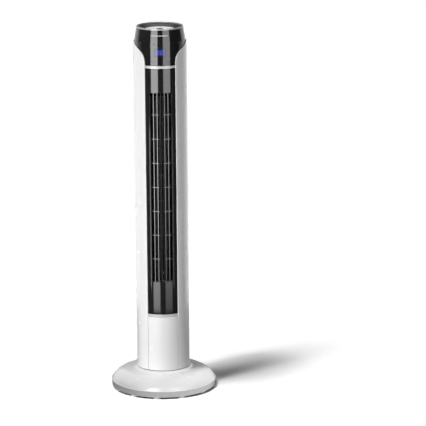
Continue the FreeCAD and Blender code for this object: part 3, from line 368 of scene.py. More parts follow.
foot_rubber = moulded("foot_rubber", grey(0.74), grey(0.62), 0.55, 0.75, patches=60.0, ripples=1500.0,
                      height=1.2e-5)
foot_line = [(0, foot_low.z), (foot_radius - 1 * mm, foot_low.z)]
foot_line += arc_points((foot_radius - 1 * mm, foot_low.z + 1 * mm), 1 * mm, -90, 0, 4)[1:]
foot_line += [(foot_radius, foot_high.z), (0, foot_high.z)]
foot_place = (foot_circle * math.sin(foot_first_angle), -foot_circle * math.cos(foot_first_angle))
foot_pads = softened(spun("foot_pads", foot_line, 32, foot_place), 50)
grown(foot_pads, ring_of_pieces, Count=foot_count, Centre=(0.0, 0.0, 0.0), Material=foot_rubber)
place_piece(foot_pads, None, "base", "foot_pad", "feet")

# ---- base plate and what is screwed into the base ----
# A disc of painted sheet steel closes the dish and gives it weight. The spindle, its
# washer and nut are turned steel, the gear and slide ring acetal, the cord's gland rubber.


def dress(material, *nodes):
    """Puts a material on CAD nodes whose shape is kept."""
    for node in nodes:
        for place in frame["nodes"][node].material_slots:
            place.material = material


def brushed_group():
    """Drawn or turned metal: fine lines along one direction, as gloss, colour and relief."""
    tree, given = finish_tree("brushed_metal", Line_scale="Vector")
    place = add_node(tree, "ShaderNodeTexCoord")["Object"]
    drawn = add_node(tree, "ShaderNodeVectorMath", place, given["Line scale"], operation="MULTIPLY")["Vector"]
    lines = add_node(tree, "ShaderNodeTexNoise", Vector=drawn, Scale=1.0, Detail=3.0)["Fac"]
    return end_finish(tree, given, lines, lines)


brushed_metal = brushed_group()


def metal(name, light, dark, smoothest, roughest, lines, height=1.5e-6, metallic=1.0):
    """A metal or metallised finish on the brushed group."""
    return new_finish(name, brushed_metal, {"Metallic": metallic}, Main_colour=light, Second_colour=dark,
                      Smoothest=smoothest, Roughest=roughest, Relief_height=height, Line_scale=lines)


plate_paint = moulded("plate_paint", grey(0.30), grey(0.22), 0.45, 0.65, patches=25.0, ripples=900.0,
                      height=1.5e-5)
turned_steel = metal("turned_steel", grey(0.62), grey(0.50), 0.22, 0.42, (300.0, 300.0, 5000.0))
acetal = moulded("acetal", (0.80, 0.79, 0.75, 1), (0.74, 0.73, 0.68, 1), 0.38, 0.50, ripples=400.0)
black_rubber = moulded("black_rubber", grey(0.03), grey(0.05), 0.55, 0.75, patches=80.0, ripples=1800.0,
                       height=1e-5)
dress(plate_paint, "base_plate", "motor_plate")
dress(turned_steel, "base_screws", "pivot_spindle", "spindle_screws", "thrust_washer", "spindle_nut",
      "turntable_screws", "swing_motor", "swing_motor_screws", "swing_motor_shaft", "housing_screws",
      "impeller_set_screw", "motor_shaft", "motor_rotor", "motor_upper_bell", "motor_lower_bell",
      "motor_screws")
dress(acetal, "slide_ring", "sector_gear", "swing_pinion")
dress(black_rubber, "cable_gland", "motor_grommets")

# ---- side shells ----
# Two tall quarter-round skins of the same white plastic, joined behind by the rear housing.
# Their front edges run straight up and sweep back over a shoulder at the head. A lap runs
# under the housing; the two bosses at the foot that take the turntable's screws are not drawn.
shell_low, shell_high = corners("right_side_shell")
tower_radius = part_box("rear_housing")[1][1]
shell_wall = 2.5 * mm
skin_inner = tower_radius - shell_wall
lap_radius = skin_inner - 0.3 * mm
opening_half = 45 * mm
seam_gap = 0.4 * mm
rear_angle = 125.0 - math.degrees(seam_gap / tower_radius) / 2
rear_lap = 7.0
edge_round = 0.9 * mm
shoulder_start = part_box("top_rim_ring")[1][2] - 101 * mm


def spaced(first, last, steps):
    return [first + (last - first) * step / steps for step in range(steps + 1)]


def around(angle, radius, height):
    """The place at an angle from the front, in degrees, and a distance from the tower's axis."""
    turn = math.radians(angle)
    return Vector((radius * math.sin(turn), -radius * math.cos(turn), height))


def sheet_mesh(builder, rows, columns_at, is_open=None, closed=False):
    """A grid on an upright round surface: rows of (radius, height), columns as degrees from the front."""
    grid = []
    for radius, height in rows:
        grid.append([(angle, height, builder.verts.new(around(angle, radius, height)))
                     for angle in columns_at(height)])
    for lower, upper in zip(grid, grid[1:]):
        count = len(lower)
        for column in range(count if closed else count - 1):
            after = (column + 1) % count
            middle = (lower[column][0] + upper[after][0]) / 2
            if is_open and is_open(middle, (lower[column][1] + upper[column][1]) / 2):
                continue
            builder.faces.new([lower[column][2], lower[after][2], upper[after][2], upper[column][2]])
    bmesh.ops.delete(builder, geom=[v for v in builder.verts if not v.link_faces], context="VERTS")


def thickened(piece, wall, even=True):
    """Gives an open sheet a wall behind its face."""
    thicken = piece.modifiers.new("wall", "SOLIDIFY")
    thicken.thickness = wall
    thicken.offset = -1
    thicken.use_even_offset = even
    return settled(piece)


def curved_sheet(name, rows, columns_at, wall, is_open=None, closed=False):
    """A wall of even thickness behind such a grid."""
    builder = bmesh.new()
    sheet_mesh(builder, rows, columns_at, is_open, closed)
    return thickened(bare_piece(name, builder), wall)


def side_angle(place, radius):
    """The angle from the front, in degrees, of a place so far aside on a round face."""
    return math.degrees(math.asin(place / radius))


def strip_columns(half_width, radius, steps=24, extra=()):
    """The columns of a strip on the front that two upright planes cut off."""
    places = sorted(set(spaced(-half_width, half_width, steps)) | set(extra))
    angles = [side_angle(place, radius) for place in places]
    return lambda height: angles


def front_strip(name, radius, wall, half_width, low, high, steps=24):
    rows = [(radius, height) for height in spaced(low, high, max(1, round((high - low) / (60 * mm))))]
    return curved_sheet(name, rows, strip_columns(half_width, radius, steps), wall)


def joined(name, *parts):
    """Several meshes as one piece, each with its own shading kept."""
    for part in parts:
        part.select_set(True)
    bpy.context.view_layer.objects.active = parts[0]
    with bpy.context.temp_override(active_object=parts[0], selected_editable_objects=list(parts),
                                   selected_objects=list(parts)):
        bpy.ops.object.join()
    whole = parts[0]
    whole.select_set(False)
    whole.name = name
    whole.data.name = name
    return whole


shoulder_knee = (opening_half + 15.6 * mm, shell_high.z - 21 * mm)
shoulder_line = bezier_points([(opening_half, shoulder_start), (opening_half, shoulder_start + 20 * mm),
                               (opening_half + 8.45 * mm, shoulder_start + 31 * mm), shoulder_knee], 24)
shoulder_line += bezier_points([shoulder_knee, (shoulder_knee[0] + 7.475 * mm, shoulder_knee[1] + 6 * mm),
                                (tower_radius - 2.5 * mm, shell_high.z - 8 * mm),
                                (tower_radius + 0.5 * mm, shell_high.z + 3 * mm)], 24)[1:]


def front_edge(height):
    """The angle of a shell's front edge at a height, in degrees from the front."""
    place = opening_half
    for (x0, z0), (x1, z1) in zip(shoulder_line, shoulder_line[1:]):
        if z0 <= height:
            place = x0 + (x1 - x0) * min(1.0, (height - z0) / (z1 - z0))
    return side_angle(min(place, tower_radius * 0.9999), tower_radius)


def shell_columns(height):
    return spaced(front_edge(height), rear_angle, 40)


def mirrored(columns_at):
    return lambda height: [-angle for angle in reversed(columns_at(height))]


shell_rows = [(tower_radius, height) for height in spaced(shell_low.z, shoulder_start, 16)]
shell_rows += [(tower_radius, height) for height in spaced(shoulder_start, shell_high.z, 34)[1:]]
lap_low = shell_low.z + 20 * mm
lap_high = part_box("upper_trim_strip")[1][2] - 1 * mm
for side, columns in (("right", shell_columns), ("left", mirrored(shell_columns))):
    turn = 1 if side == "right" else -1
    skin = rounded(curved_sheet(side + "_skin", shell_rows, columns, shell_wall), edge_round, 3)
    lap_angles = sorted(turn * angle for angle in spaced(rear_angle - 5, rear_angle + rear_lap, 6))
    lap = curved_sheet("lap", [(lap_radius, height) for height in (lap_low, lap_high)],
                       lambda height: lap_angles, shell_wall)
    root_angles = sorted(turn * angle for angle in spaced(rear_angle - 5, rear_angle - 1, 2))
    root = curved_sheet("root", [(skin_inner + 0.5 * mm, height) for height in (lap_low, lap_high)],
                        lambda height: root_angles, 1.2 * mm)
    whole_skin = joined(side + "_skin", skin, lap, root)
    place_piece(whole_skin, gloss_white, "tower", "white_gloss", side + "_side_shell")

# ---- rear housing and hand-hold ----
# The rear skin carries the air intake: upright slots in eight rows, moulded clean through.
# Above them a pocket takes the fingers of a hand, and eight screws in sunk seats hold the
# housing to the laps of the side shells.
bezel_low, bezel_high = corners("front_bezel")
window_low = bezel_low.z + 98.4 * mm
window_high = bezel_high.z - 71.0 * mm
slot_half_width = 2.5 * mm
slot_half_angle = side_angle(slot_half_width, tower_radius)
slot_pitch = 7.6
slot_columns = 11
slot_rows = 8
slot_land = 8 * mm
pocket_low, pocket_high = corners("handle_recess")
pocket_margin = 3 * mm
pocket_half_angle = side_angle(pocket_high.x - pocket_margin, tower_radius)
slot_centres = [180 + slot_pitch * (column - (slot_columns - 1) / 2) for column in range(slot_columns)]
slot_pitch_height = (window_high - window_low) / slot_rows
slot_spans = [(window_low + slot_pitch_height * row + slot_land / 2,
               window_low + slot_pitch_height * (row + 1) - slot_land / 2) for row in range(slot_rows)]
pocket_span = (pocket_low.z + pocket_margin, pocket_high.z - pocket_margin)


def housing_open(angle, height):
    in_slot = any(abs(angle - centre) < slot_half_angle for centre in slot_centres)
    in_row = any(low < height < high for low, high in slot_spans)
    in_pocket = abs(angle - 180) < pocket_half_angle and pocket_span[0] < height < pocket_span[1]
    return in_pocket or (in_slot and in_row)


housing_half = 360 - 180 - rear_angle - math.degrees(seam_gap / tower_radius)
housing_angles = {180 - housing_half, 180 + housing_half, 180 - pocket_half_angle, 180 + pocket_half_angle}
for centre in slot_centres:
    housing_angles |= {centre - slot_half_angle, centre, centre + slot_half_angle, centre + slot_pitch / 2}
beside_slots = 42
housing_angles |= set(spaced(180 + beside_slots, 180 + housing_half, 4))
housing_angles |= set(spaced(180 - housing_half, 180 - beside_slots, 4))
housing_columns = sorted(housing_angles)
housing_heights = {shell_low.z, shell_high.z, pocket_span[0], pocket_span[1]}
for low, high in slot_spans:
    housing_heights |= {low, high}
housing_heights |= set(spaced(shell_low.z, slot_spans[0][0], 4))
housing_heights |= set(spaced(slot_spans[-1][1], pocket_span[0], 2))
rear_skin = curved_sheet("rear_skin", [(tower_radius, height) for height in sorted(housing_heights)],
                         lambda height: housing_columns, shell_wall, housing_open)
seat_depth = 1.6 * mm
screw_shares = (0.08, 0.36, 0.64, 0.92)
seat_radius = 3.1 * mm
screw_angle = rear_angle + 3.65
screw_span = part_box("upper_trim_strip")[0][2] - shell_low.z
seats = []
for side in (-1, 1):
    for share in screw_shares:
        height = shell_low.z + screw_span * share
        seats.append(rod("seat", around(side * screw_angle, tower_radius - seat_depth, height),
                         around(side * screw_angle, tower_radius + 5 * mm, height), seat_radius))
drill(rear_skin, joined("seats", *seats))
rounded(rear_skin, 0.5 * mm, 2)
place_piece(rear_skin, gloss_white, "tower", "white_gloss", "rear_housing")
dress(gloss_white, "handle_recess")

# ---- lower front panel ----
# A white skin that fills the opening between the shells, from the collar up to the lower
# bright strip. It snaps in from the front, on a lap that runs under both shells.
panel_low, panel_high = corners("lower_front_panel")
panel_half = opening_half - seam_gap
lap_half = opening_half + 7 * mm
panel_skin = rounded(front_strip("panel_skin", tower_radius, shell_wall, panel_half - seam_gap, panel_low.z,
                                 panel_high.z), edge_round, 3)
panel_lap = front_strip("panel_lap", lap_radius, shell_wall, lap_half, panel_low.z + 4 * mm, panel_high.z)
panel_root = front_strip("panel_root", skin_inner + 0.5 * mm, 1.2 * mm, panel_half - 2 * mm,
                         panel_low.z + 5 * mm, panel_high.z - 1 * mm)
place_piece(joined("panel_skin", panel_skin, panel_lap, panel_root), gloss_white, "tower", "white_gloss",
            "lower_front_panel")

# ---- bright strips ----
# Two slim metallised strips frame the black front, above and below. They are plastic with
# a bright foil, grained along their length, and clip in behind both shells.
strip_proud = 0.9 * mm
bright_foil = metal("bright_foil", grey(0.50), grey(0.42), 0.34, 0.46, (60.0, 60.0, 2600.0), height=1.2e-6,
                    metallic=0.15)
for node in ("lower_trim_strip", "upper_trim_strip"):
    strip_low, strip_high = corners(node)
    strip_face = rounded(front_strip("face", lap_radius + strip_proud, shell_wall + strip_proud, panel_half,
                                     strip_low.z, strip_high.z, 32), 0.5 * mm, 2)
    strip_lap = front_strip("strip_lap", lap_radius, shell_wall, lap_half, strip_low.z, strip_high.z)
    place_piece(joined(node.replace("trim", "bright"), strip_face, strip_lap), bright_foil, "tower",
                "bright_trim", node)

# ---- front bezel ----
# One deep-gloss black moulding with the tall air window. Two fine grooves run beside the
# window, and its laps go under both shells. A faint ripple stays in the gloss.
groove_middle = 34.6 * mm
groove_half = 0.5 * mm
groove_depth = 0.8 * mm
window_half = groove_middle - 1.8 * mm
groove_low = window_low - 39 * mm
groove_high = window_high + 39 * mm
gloss_black = moulded("gloss_black", grey(0.009), grey(0.013), 0.05, 0.11, patches=30.0, ripples=420.0,
                      height=1.0e-6, dust=0.15, IOR=1.52)


def bezel_open(angle, height):
    return abs(lap_radius * math.sin(math.radians(angle))) < window_half and window_low < height < window_high


groove_lines = []
for side in (-1, 1):
    groove_lines += [side * (groove_middle + offset) for offset in
                     (-groove_half, -groove_half + 0.1 * mm, groove_half - 0.1 * mm, groove_half)]
bezel_places = set(groove_lines) | set(spaced(-30 * mm, 30 * mm, 20))
for place in (window_half, 38 * mm, 42 * mm, 45 * mm, 48 * mm, lap_half):
    bezel_places |= {-place, place}
bezel_angles = [side_angle(place, lap_radius) for place in sorted(bezel_places)]
bezel_heights = {groove_low + 0.1 * mm, groove_high - 0.1 * mm, window_low, window_high}
bezel_heights |= set(spaced(bezel_low.z, groove_low, 2)) | set(spaced(groove_high, bezel_high.z, 1))
bezel = curved_sheet("bezel", [(lap_radius, height) for height in sorted(bezel_heights)],
                     lambda height: bezel_angles, shell_wall, bezel_open)
groove_span = (groove_low + 0.05 * mm, groove_high - 0.05 * mm)
for vertex in bezel.data.vertices:
    beside = abs(abs(vertex.co.x) - groove_middle)
    on_face = math.hypot(vertex.co.x, vertex.co.y) > lap_radius - 0.1 * mm
    if on_face and beside < groove_half - 0.05 * mm and groove_span[0] < vertex.co.z < groove_span[1]:
        vertex.co.y += groove_depth
rounded(bezel, 0.35 * mm, 2, 40)
place_piece(bezel, gloss_black, "tower", "black_gloss", "front_bezel")

# ---- louvre grid ----
# Upright bars of black plastic guard the wheel. Thin cross ribs behind their faces tie
# them together, and a frame behind the bezel carries them: one moulding in all.
grid_low, grid_high = corners("louvre_grid")
bar_count = 7
bar_pitch = 10.6 * mm
bar_thickness = 1.6 * mm
bar_depth = 7 * mm
bar_face = lap_radius - 0.9 * mm
bar_margin = 0.3 * mm
rib_count = 7
rib_pitch = 71.7 * mm
rib_first = 69.6 * mm
rib_thickness = 1.4 * mm
rib_depth = 3.5 * mm
rib_face = lap_radius - 2.6 * mm
frame_face = lap_radius - 2.8 * mm
frame_depth = 2.6 * mm
frame_margin = 0.5 * mm
frame_half = window_half + frame_margin


def bars_tree():
    """A row of upright bars whose front faces follow a round face."""
    tree, given = new_tree("bars_on_arc", "GeometryNodeTree", {"Geometry": "Geometry"}, Count="Int",
                           Pitch="Float", Face_radius="Float", Bar_size="Vector", Middle_height="Float",
                           Material="Material")

    def worked_out(operation, first, second=None):
        return add_node(tree, "ShaderNodeMath", first, second, operation=operation)["Value"]

    points = add_node(tree, "GeometryNodeMeshLine", Count=given["Count"], Offset=(0, 0, 0))["Mesh"]
    index = add_node(tree, "GeometryNodeInputIndex")["Index"]
    middle = worked_out("DIVIDE", worked_out("SUBTRACT", given["Count"], 1.0), 2.0)
    across = worked_out("MULTIPLY", worked_out("SUBTRACT", index, middle), given["Pitch"])
    square = worked_out("SUBTRACT", worked_out("POWER", given["Face radius"], 2.0),
                        worked_out("POWER", worked_out("ABSOLUTE", across), 2.0))
    depth = add_node(tree, "ShaderNodeSeparateXYZ", Vector=given["Bar size"])["Y"]
    back = worked_out("SUBTRACT", worked_out("DIVIDE", depth, 2.0), worked_out("SQRT", square))
    place = add_node(tree, "ShaderNodeCombineXYZ", X=across, Y=back, Z=given["Middle height"])["Vector"]
    moved = add_node(tree, "GeometryNodeSetPosition", Geometry=points, Position=place)["Geometry"]
    bar = add_node(tree, "GeometryNodeMeshCube", Size=given["Bar size"])["Mesh"]
    return end_copies(tree, given, copied(tree, moved, bar))


def row_tree():
    """Copies a piece in a straight row, the first copy where the piece is."""
    tree, given = new_tree("row_of_pieces", "GeometryNodeTree", {"Geometry": "Geometry"},
                           Geometry="Geometry", Count="Int", Step="Vector", Material="Material")
    points = add_node(tree, "GeometryNodeMeshLine", Count=given["Count"], Offset=given["Step"])["Mesh"]
    return end_copies(tree, given, copied(tree, points, given["Geometry"]))


row_of_pieces = row_tree()
grille_black = moulded("grille_black", grey(0.009), grey(0.014), 0.07, 0.13, patches=40.0, ripples=500.0,
                       height=1e-6, dust=0.3, IOR=1.85)
bars = new_piece("bars", bmesh.new())
grown(bars, bars_tree(), Count=bar_count, Pitch=bar_pitch, Face_radius=bar_face,
      Bar_size=(bar_thickness, bar_depth, window_high - window_low - 2 * bar_margin),
      Middle_height=(window_low + window_high) / 2, Material=grille_black)
for vertex in bars.data.vertices:
    # a bar's face follows the round of the front, its sides and back stay square
    if vertex.co.y < -bar_face * math.cos(math.asin(vertex.co.x / bar_face)) + bar_depth / 2:
        vertex.co.y = -math.sqrt(bar_face ** 2 - vertex.co.x ** 2)
rounded(bars, 0.2 * mm, 2)
rib_half = window_half + 1.5 * mm
ribs = front_strip("ribs", rib_face, rib_depth, rib_half, window_low + rib_first - rib_thickness / 2,
                   window_low + rib_first + rib_thickness / 2, 20)
rounded(ribs, 0.12 * mm, 2)
grown(ribs, row_of_pieces, Count=rib_count, Step=(0.0, 0.0, rib_pitch), Material=grille_black)


def frame_open(angle, height):
    across = abs(frame_face * math.sin(math.radians(angle)))
    return across < frame_half and window_low + frame_margin < height < window_high - frame_margin


frame_columns = strip_columns(grid_high.x, frame_face, 4,
                              (-frame_half, frame_half, *spaced(-30 * mm, 30 * mm, 12)))
frame_heights = (grid_low.z, window_low + frame_margin, window_high - frame_margin, grid_high.z)
grid_frame = curved_sheet("grid_frame", [(frame_face, height) for height in frame_heights], frame_columns,
                          frame_depth, frame_open)
louvre_bars = joined("louvre_bars", bars, ribs, grid_frame)
place_piece(louvre_bars, grille_black, "tower", "black_grille", "louvre_grid")

# ---- impeller ----
# The cross-flow wheel: rings of thin curved blades between discs, welded from moulded
# segments of dark grey plastic. It turns right behind the bars, on the motor's shaft.
wheel_y = next(joint["pos_m"][1] for joint in frame["joints"] if joint["name"] == "impeller_spin")
wheel_radius = 44 * mm
blade_count = 26
blade_depth = 9 * mm
blade_thickness = 1 * mm
blade_bend = 0.11
blade_steps = 6
disc_thickness = 1.5 * mm
disc_radius = wheel_radius + 0.4 * mm
wheel_low = window_low
wheel_high = window_high - 18 * mm
segment_count = 7
wheel_plastic = moulded("wheel_plastic", grey(0.012), grey(0.02), 0.45, 0.60, patches=50.0, ripples=700.0,
                        height=4e-6, dust=0.3, Specular_IOR_Level=0.2)
builder = bmesh.new()
blade_rings = []
for height in (wheel_low, wheel_high):
    ring = []
    for edge in (-1, 1):
        for step in range(blade_steps + 1)[::-edge]:
            radius = wheel_radius - blade_depth + blade_depth * step / blade_steps
            lead = blade_bend * (1 - (2 * step / blade_steps - 1) ** 2)
            turn = lead + edge * blade_thickness / 2 / radius
            spot = (radius * math.cos(turn), wheel_y + radius * math.sin(turn), height)
            ring.append(builder.verts.new(spot))
    blade_rings.append(ring)
lower, upper = blade_rings
for corner in range(len(lower)):
    after = (corner + 1) % len(lower)
    builder.faces.new([lower[corner], lower[after], upper[after], upper[corner]])
for ring in blade_rings:
    for step in range(blade_steps):
        builder.faces.new([ring[step], ring[step + 1], ring[-step - 2], ring[-step - 1]])
blades = softened(new_piece("blades", builder), 40)
grown(blades, ring_of_pieces, Count=blade_count, Centre=(0.0, wheel_y, 0.0), Material=wheel_plastic)
segment_height = (wheel_high - wheel_low) / segment_count
disc_hole = wheel_radius - blade_depth - 4 * mm
disc_line = [(disc_hole, -disc_thickness / 2), (disc_radius, -disc_thickness / 2),
             (disc_radius, disc_thickness / 2), (disc_hole, disc_thickness / 2)]
middle_line = [(radius, height + wheel_low + segment_height) for radius, height in disc_line]
middle_discs = softened(spun("middle_discs", middle_line, 72, (0.0, wheel_y)), 40)
grown(middle_discs, row_of_pieces, Count=segment_count - 1, Step=(0.0, 0.0, segment_height),
      Material=wheel_plastic)
end_discs = []
hub_foot, pin_tip = (corner.z for corner in corners("impeller"))
for height, tip, radius in ((wheel_low, hub_foot, 9 * mm), (wheel_high, pin_tip, 3 * mm)):
    away = math.copysign(disc_thickness / 2, tip - height)
    line = [(0, height - away), (disc_radius, height - away), (disc_radius, height + away),
            (radius, height + away), (radius, tip), (0, tip)]
    end_discs.append(softened(spun("end_disc", line, 72, (0.0, wheel_y)), 40))
wheel = joined("impeller_wheel", blades, middle_discs, *end_discs)
place_piece(wheel, wheel_plastic, "impeller", "black_matte", "impeller")

# ---- air duct, motor and boards ----
# What the bars hide: the turntable, the scroll and its tongue in dark plastic, the motor on
# rubber grommets, the lacquered boards, and the upper bush in sintered bronze.
duct_plastic = moulded("duct_plastic", grey(0.012), grey(0.02), 0.45, 0.60, ripples=800.0, height=6e-6,
                       dust=0.3)
bush_bronze = metal("bush_bronze", (0.62, 0.45, 0.25, 1), (0.50, 0.35, 0.19, 1), 0.32, 0.50,
                    (900.0, 900.0, 900.0))
varnished_copper = metal("varnished_copper", (0.42, 0.20, 0.10, 1), (0.26, 0.12, 0.06, 1), 0.30, 0.48,
                         (400.0, 400.0, 4000.0), metallic=0.6)
board_lacquer = moulded("board_lacquer", (0.03, 0.22, 0.09, 1), (0.02, 0.15, 0.06, 1), 0.25, 0.40,
                        patches=300.0)
capacitor_case = moulded("capacitor_case", (0.20, 0.20, 0.22, 1), (0.15, 0.15, 0.17, 1), 0.45, 0.60)
dress(duct_plastic, "turntable", "air_duct", "duct_tongue", "duct_top_plate", "display_module")
dress(bush_bronze, "top_bush", "motor_bearings")
dress(varnished_copper, "motor_stator")
dress(board_lacquer, "power_board", "control_board", "display_board")
dress(capacitor_case, "run_capacitor")

# ---- control head ----
# A hood of the same deep-gloss black, straight at its foot and drawn in towards the top.
# Openings are moulded through its front for the display and the two small lamps.
hood_low, hood_high = corners("control_head")
hood_top_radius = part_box("top_rim_ring")[1][0]
hood_bend = hood_low.z + 62 * mm - 0.2 * mm
hood_draw = lap_radius - hood_top_radius
display_low, display_high = corners("display_window")
lamp_low, lamp_high = corners("indicator_lenses")
lamp_width = 6 * mm
opening_margin = 0.15 * mm
hood_line = [(lap_radius, hood_low.z), (lap_radius, hood_bend)]
hood_line += bezier_points([(lap_radius, hood_bend), (lap_radius - hood_draw * 0.06, hood_bend + 6 * mm),
                            (lap_radius - hood_draw * 0.2, hood_bend + 10 * mm)], 8)[1:]
hood_line += bezier_points([(lap_radius - hood_draw * 0.2, hood_bend + 10 * mm),
                            (lap_radius - hood_draw * 0.45, hood_bend + 22 * mm),
                            (hood_top_radius + hood_draw * 0.25, hood_high.z - 10 * mm),
                            (hood_top_radius, hood_high.z)], 20)[1:]
display_half = display_high.x + opening_margin
display_span = (display_low.z - opening_margin, display_high.z + opening_margin)
lamp_span = (lamp_low.z - opening_margin, lamp_high.z + opening_margin)
lamp_sides = (lamp_high.x - lamp_width - opening_margin, lamp_high.x + opening_margin)


def hood_open(angle, height):
    across = lap_radius * math.sin(math.radians(angle))
    ahead = abs((angle + 180) % 360 - 180) < 90
    in_display = abs(across) < display_half and display_span[0] < height < display_span[1]
    in_lamp = lamp_sides[0] < abs(across) < lamp_sides[1] and lamp_span[0] < height < lamp_span[1]
    return ahead and (in_display or in_lamp)


hood_edges = [side_angle(place, lap_radius) for place in (display_half, *lamp_sides)]
hood_angles = sorted({side * edge for side in (-1, 1) for edge in hood_edges}
                     | {angle for angle in range(-180, 180, 3)
                        if min(abs(abs(angle) - edge) for edge in hood_edges) > 0.8})
for height in (*display_span, *lamp_span):
    hood_line.append((lap_radius, height))
hood_line.sort(key=lambda point: (point[1], -point[0]))
hood = curved_sheet("hood", hood_line, lambda height: hood_angles, shell_wall, hood_open, closed=True)
rounded(hood, 0.4 * mm, 2, 40)
place_piece(hood, gloss_black, "tower", "black_gloss", "control_head")

# ---- plain bar on the hood ----
# A slim bright bar is let into the hood's front, above the display, and stands a little
# proud of it. It carries no mark.
bar_low, bar_high = corners("front_accent_bar")
bar_radius = hood_top_radius + 1.9 * mm
accent_angles = [side_angle(place, bar_radius) for place in spaced(bar_low.x, bar_high.x, 16)]


def hood_radius(height):
    """The hood's outer radius at a height."""
    for (r0, z0), (r1, z1) in zip(hood_line, hood_line[1:]):
        if z0 <= height <= z1 and z1 > z0:
            return r0 + (r1 - r0) * (height - z0) / (z1 - z0)
    return hood_line[-1][0]


accent_rows = [(hood_radius(height) + 0.35 * mm, height) for height in spaced(bar_low.z, bar_high.z, 2)]
accent = curved_sheet("accent", accent_rows, lambda height: accent_angles, 1.2 * mm)
rounded(accent, 0.3 * mm, 2)
place_piece(accent, bright_foil, "tower", "bright_trim", "front_accent_bar")

# ---- display, lamps and receiver ----
# A tinted window closes the display's opening, lit deep blue from behind, with segment
# digits in a lighter blue. Two small lamps and the remote receiver sit beside it.


def lit_finish(name, surface, glow, strength, roughness):
    """A glossy cover with light behind it, slightly uneven as diffused light is."""
    worn = tuple(share * 0.8 for share in surface[:3]) + (1.0,)
    dimmer = tuple(share * 0.75 for share in glow[:3]) + (1.0,)
    material = moulded(name, surface, worn, roughness, roughness + 0.05, Emission_Strength=strength)
    tree = material.node_tree
    place = add_node(tree, "ShaderNodeTexCoord")["Object"]
    uneven = add_node(tree, "ShaderNodeTexNoise", Vector=place, Scale=120.0)["Fac"]
    light = add_node(tree, "ShaderNodeMix", data_type="RGBA", Factor=uneven, A=glow, B=dimmer)["Result"]
    tree.links.new(light, tree.nodes["Principled BSDF"].inputs["Emission Color"])
    return material


display_glass = lit_finish("display_glass", (0.006, 0.008, 0.03, 1), (0.012, 0.016, 0.15, 1), 1.0, 0.06)
digit_light = lit_finish("digit_light", (0.05, 0.07, 0.40, 1), (0.16, 0.22, 0.85, 1), 0.5, 0.1)
lamp_light = lit_finish("lamp_light", (0.03, 0.04, 0.25, 1), (0.10, 0.12, 0.60, 1), 0.3, 0.1)
glass = front_strip("glass", lap_radius, shell_wall, display_high.x, display_low.z, display_high.z, 16)
rounded(glass, 0.15 * mm, 1)
place_piece(glass, display_glass, "tower", "display_blue", "display_window")
lamps = []
for side in (-1, 1):
    edges = sorted(side * edge for edge in (lamp_high.x - lamp_width, lamp_high.x))
    angles = [side_angle(place, lap_radius) for place in spaced(*edges, 4)]
    lamps.append(curved_sheet("lamp", [(lap_radius, lamp_low.z), (lap_radius, lamp_high.z)],
                              lambda height: angles, shell_wall))
lamp_pair = rounded(joined("lamp_pair", *lamps), 0.15 * mm, 1)
place_piece(lamp_pair, lamp_light, "tower", "indicator_blue", "indicator_lenses")
digit_width = 6.4 * mm
digit_height = 11.5 * mm
stroke = 1.25 * mm
digit_gap = 2.2 * mm
digit_middle = (display_low.z + display_high.z) / 2
# the lit segments of a digit as (column, row, upright), in half heights from the lower left
lit_segments = {
    2: ((0, 2, False), (1, 1, True), (0, 1, False), (0, 0, True), (0, 0, False)),
    6: ((0, 2, False), (0, 1, True), (0, 1, False), (0, 0, True), (1, 0, True), (0, 0, False)),
}
segments = []


def add_segment(x0, x1, z0, z1):
    angles = [side_angle(place, lap_radius) for place in spaced(x0, x1, 3)]
    segments.append(curved_sheet("segment", [(lap_radius + 0.06 * mm, z0), (lap_radius + 0.06 * mm, z1)],
                                 lambda height: angles, 0.3 * mm))


for digit, left in ((2, -digit_width - digit_gap / 2 - 1.5 * mm), (6, digit_gap / 2 - 1.5 * mm)):
    half_height = (digit_height - stroke) / 2
    for column, row, upright in lit_segments[digit]:
        x = left + column * (digit_width - stroke)
        z = digit_middle - digit_height / 2 + row * half_height
        if upright:
            add_segment(x, x + stroke, z + stroke, z + half_height)
        else:
            add_segment(x, x + digit_width, z, z + stroke)
degree_left = digit_width + digit_gap / 2 - 0.4 * mm
degree_size = 2.6 * mm
degree_stroke = 0.7 * mm
degree_hole = degree_size - degree_stroke
degree_low = digit_middle + digit_height / 2 - degree_size
for x0, x1, z0, z1 in ((0, degree_size, 0, degree_stroke), (0, degree_size, degree_hole, degree_size),
                       (0, degree_stroke, degree_stroke, degree_hole),
                       (degree_hole, degree_size, degree_stroke, degree_hole)):
    add_segment(degree_left + x0, degree_left + x1, degree_low + z0, degree_low + z1)
digits = joined("display_digits", *segments)
place_piece(digits, digit_light, "tower", "indicator_blue")
receiver_low, receiver_high = corners("receiver_lens")
receiver_radius = (receiver_high.z - receiver_low.z) / 2
receiver_centre = ((receiver_low.x + receiver_high.x) / 2, (receiver_low.z + receiver_high.z) / 2)
lens_line = [(0, -2.5 * mm), (receiver_radius, -2.5 * mm), (receiver_radius, 0)]
lens_line += bezier_points([(receiver_radius, 0), (receiver_radius * 0.8, 0.35 * mm), (0, 0.4 * mm)], 6)[1:]
lens = softened(spun("receiver_window", lens_line, 32), 40)
lens_turn = Matrix.Rotation(math.asin(receiver_centre[0] / lap_radius), 4, "Z")
lens_place = Matrix.Translation((0, -lap_radius + 0.1 * mm, receiver_centre[1]))
lens.data.transform(lens_turn @ lens_place @ Matrix.Rotation(math.radians(90), 4, "X"))
receiver_tint = moulded("receiver_tint", (0.03, 0.012, 0.02, 1), (0.04, 0.02, 0.03, 1), 0.08, 0.14)
place_piece(lens, receiver_tint, "tower", "receiver_dark", "receiver_lens")

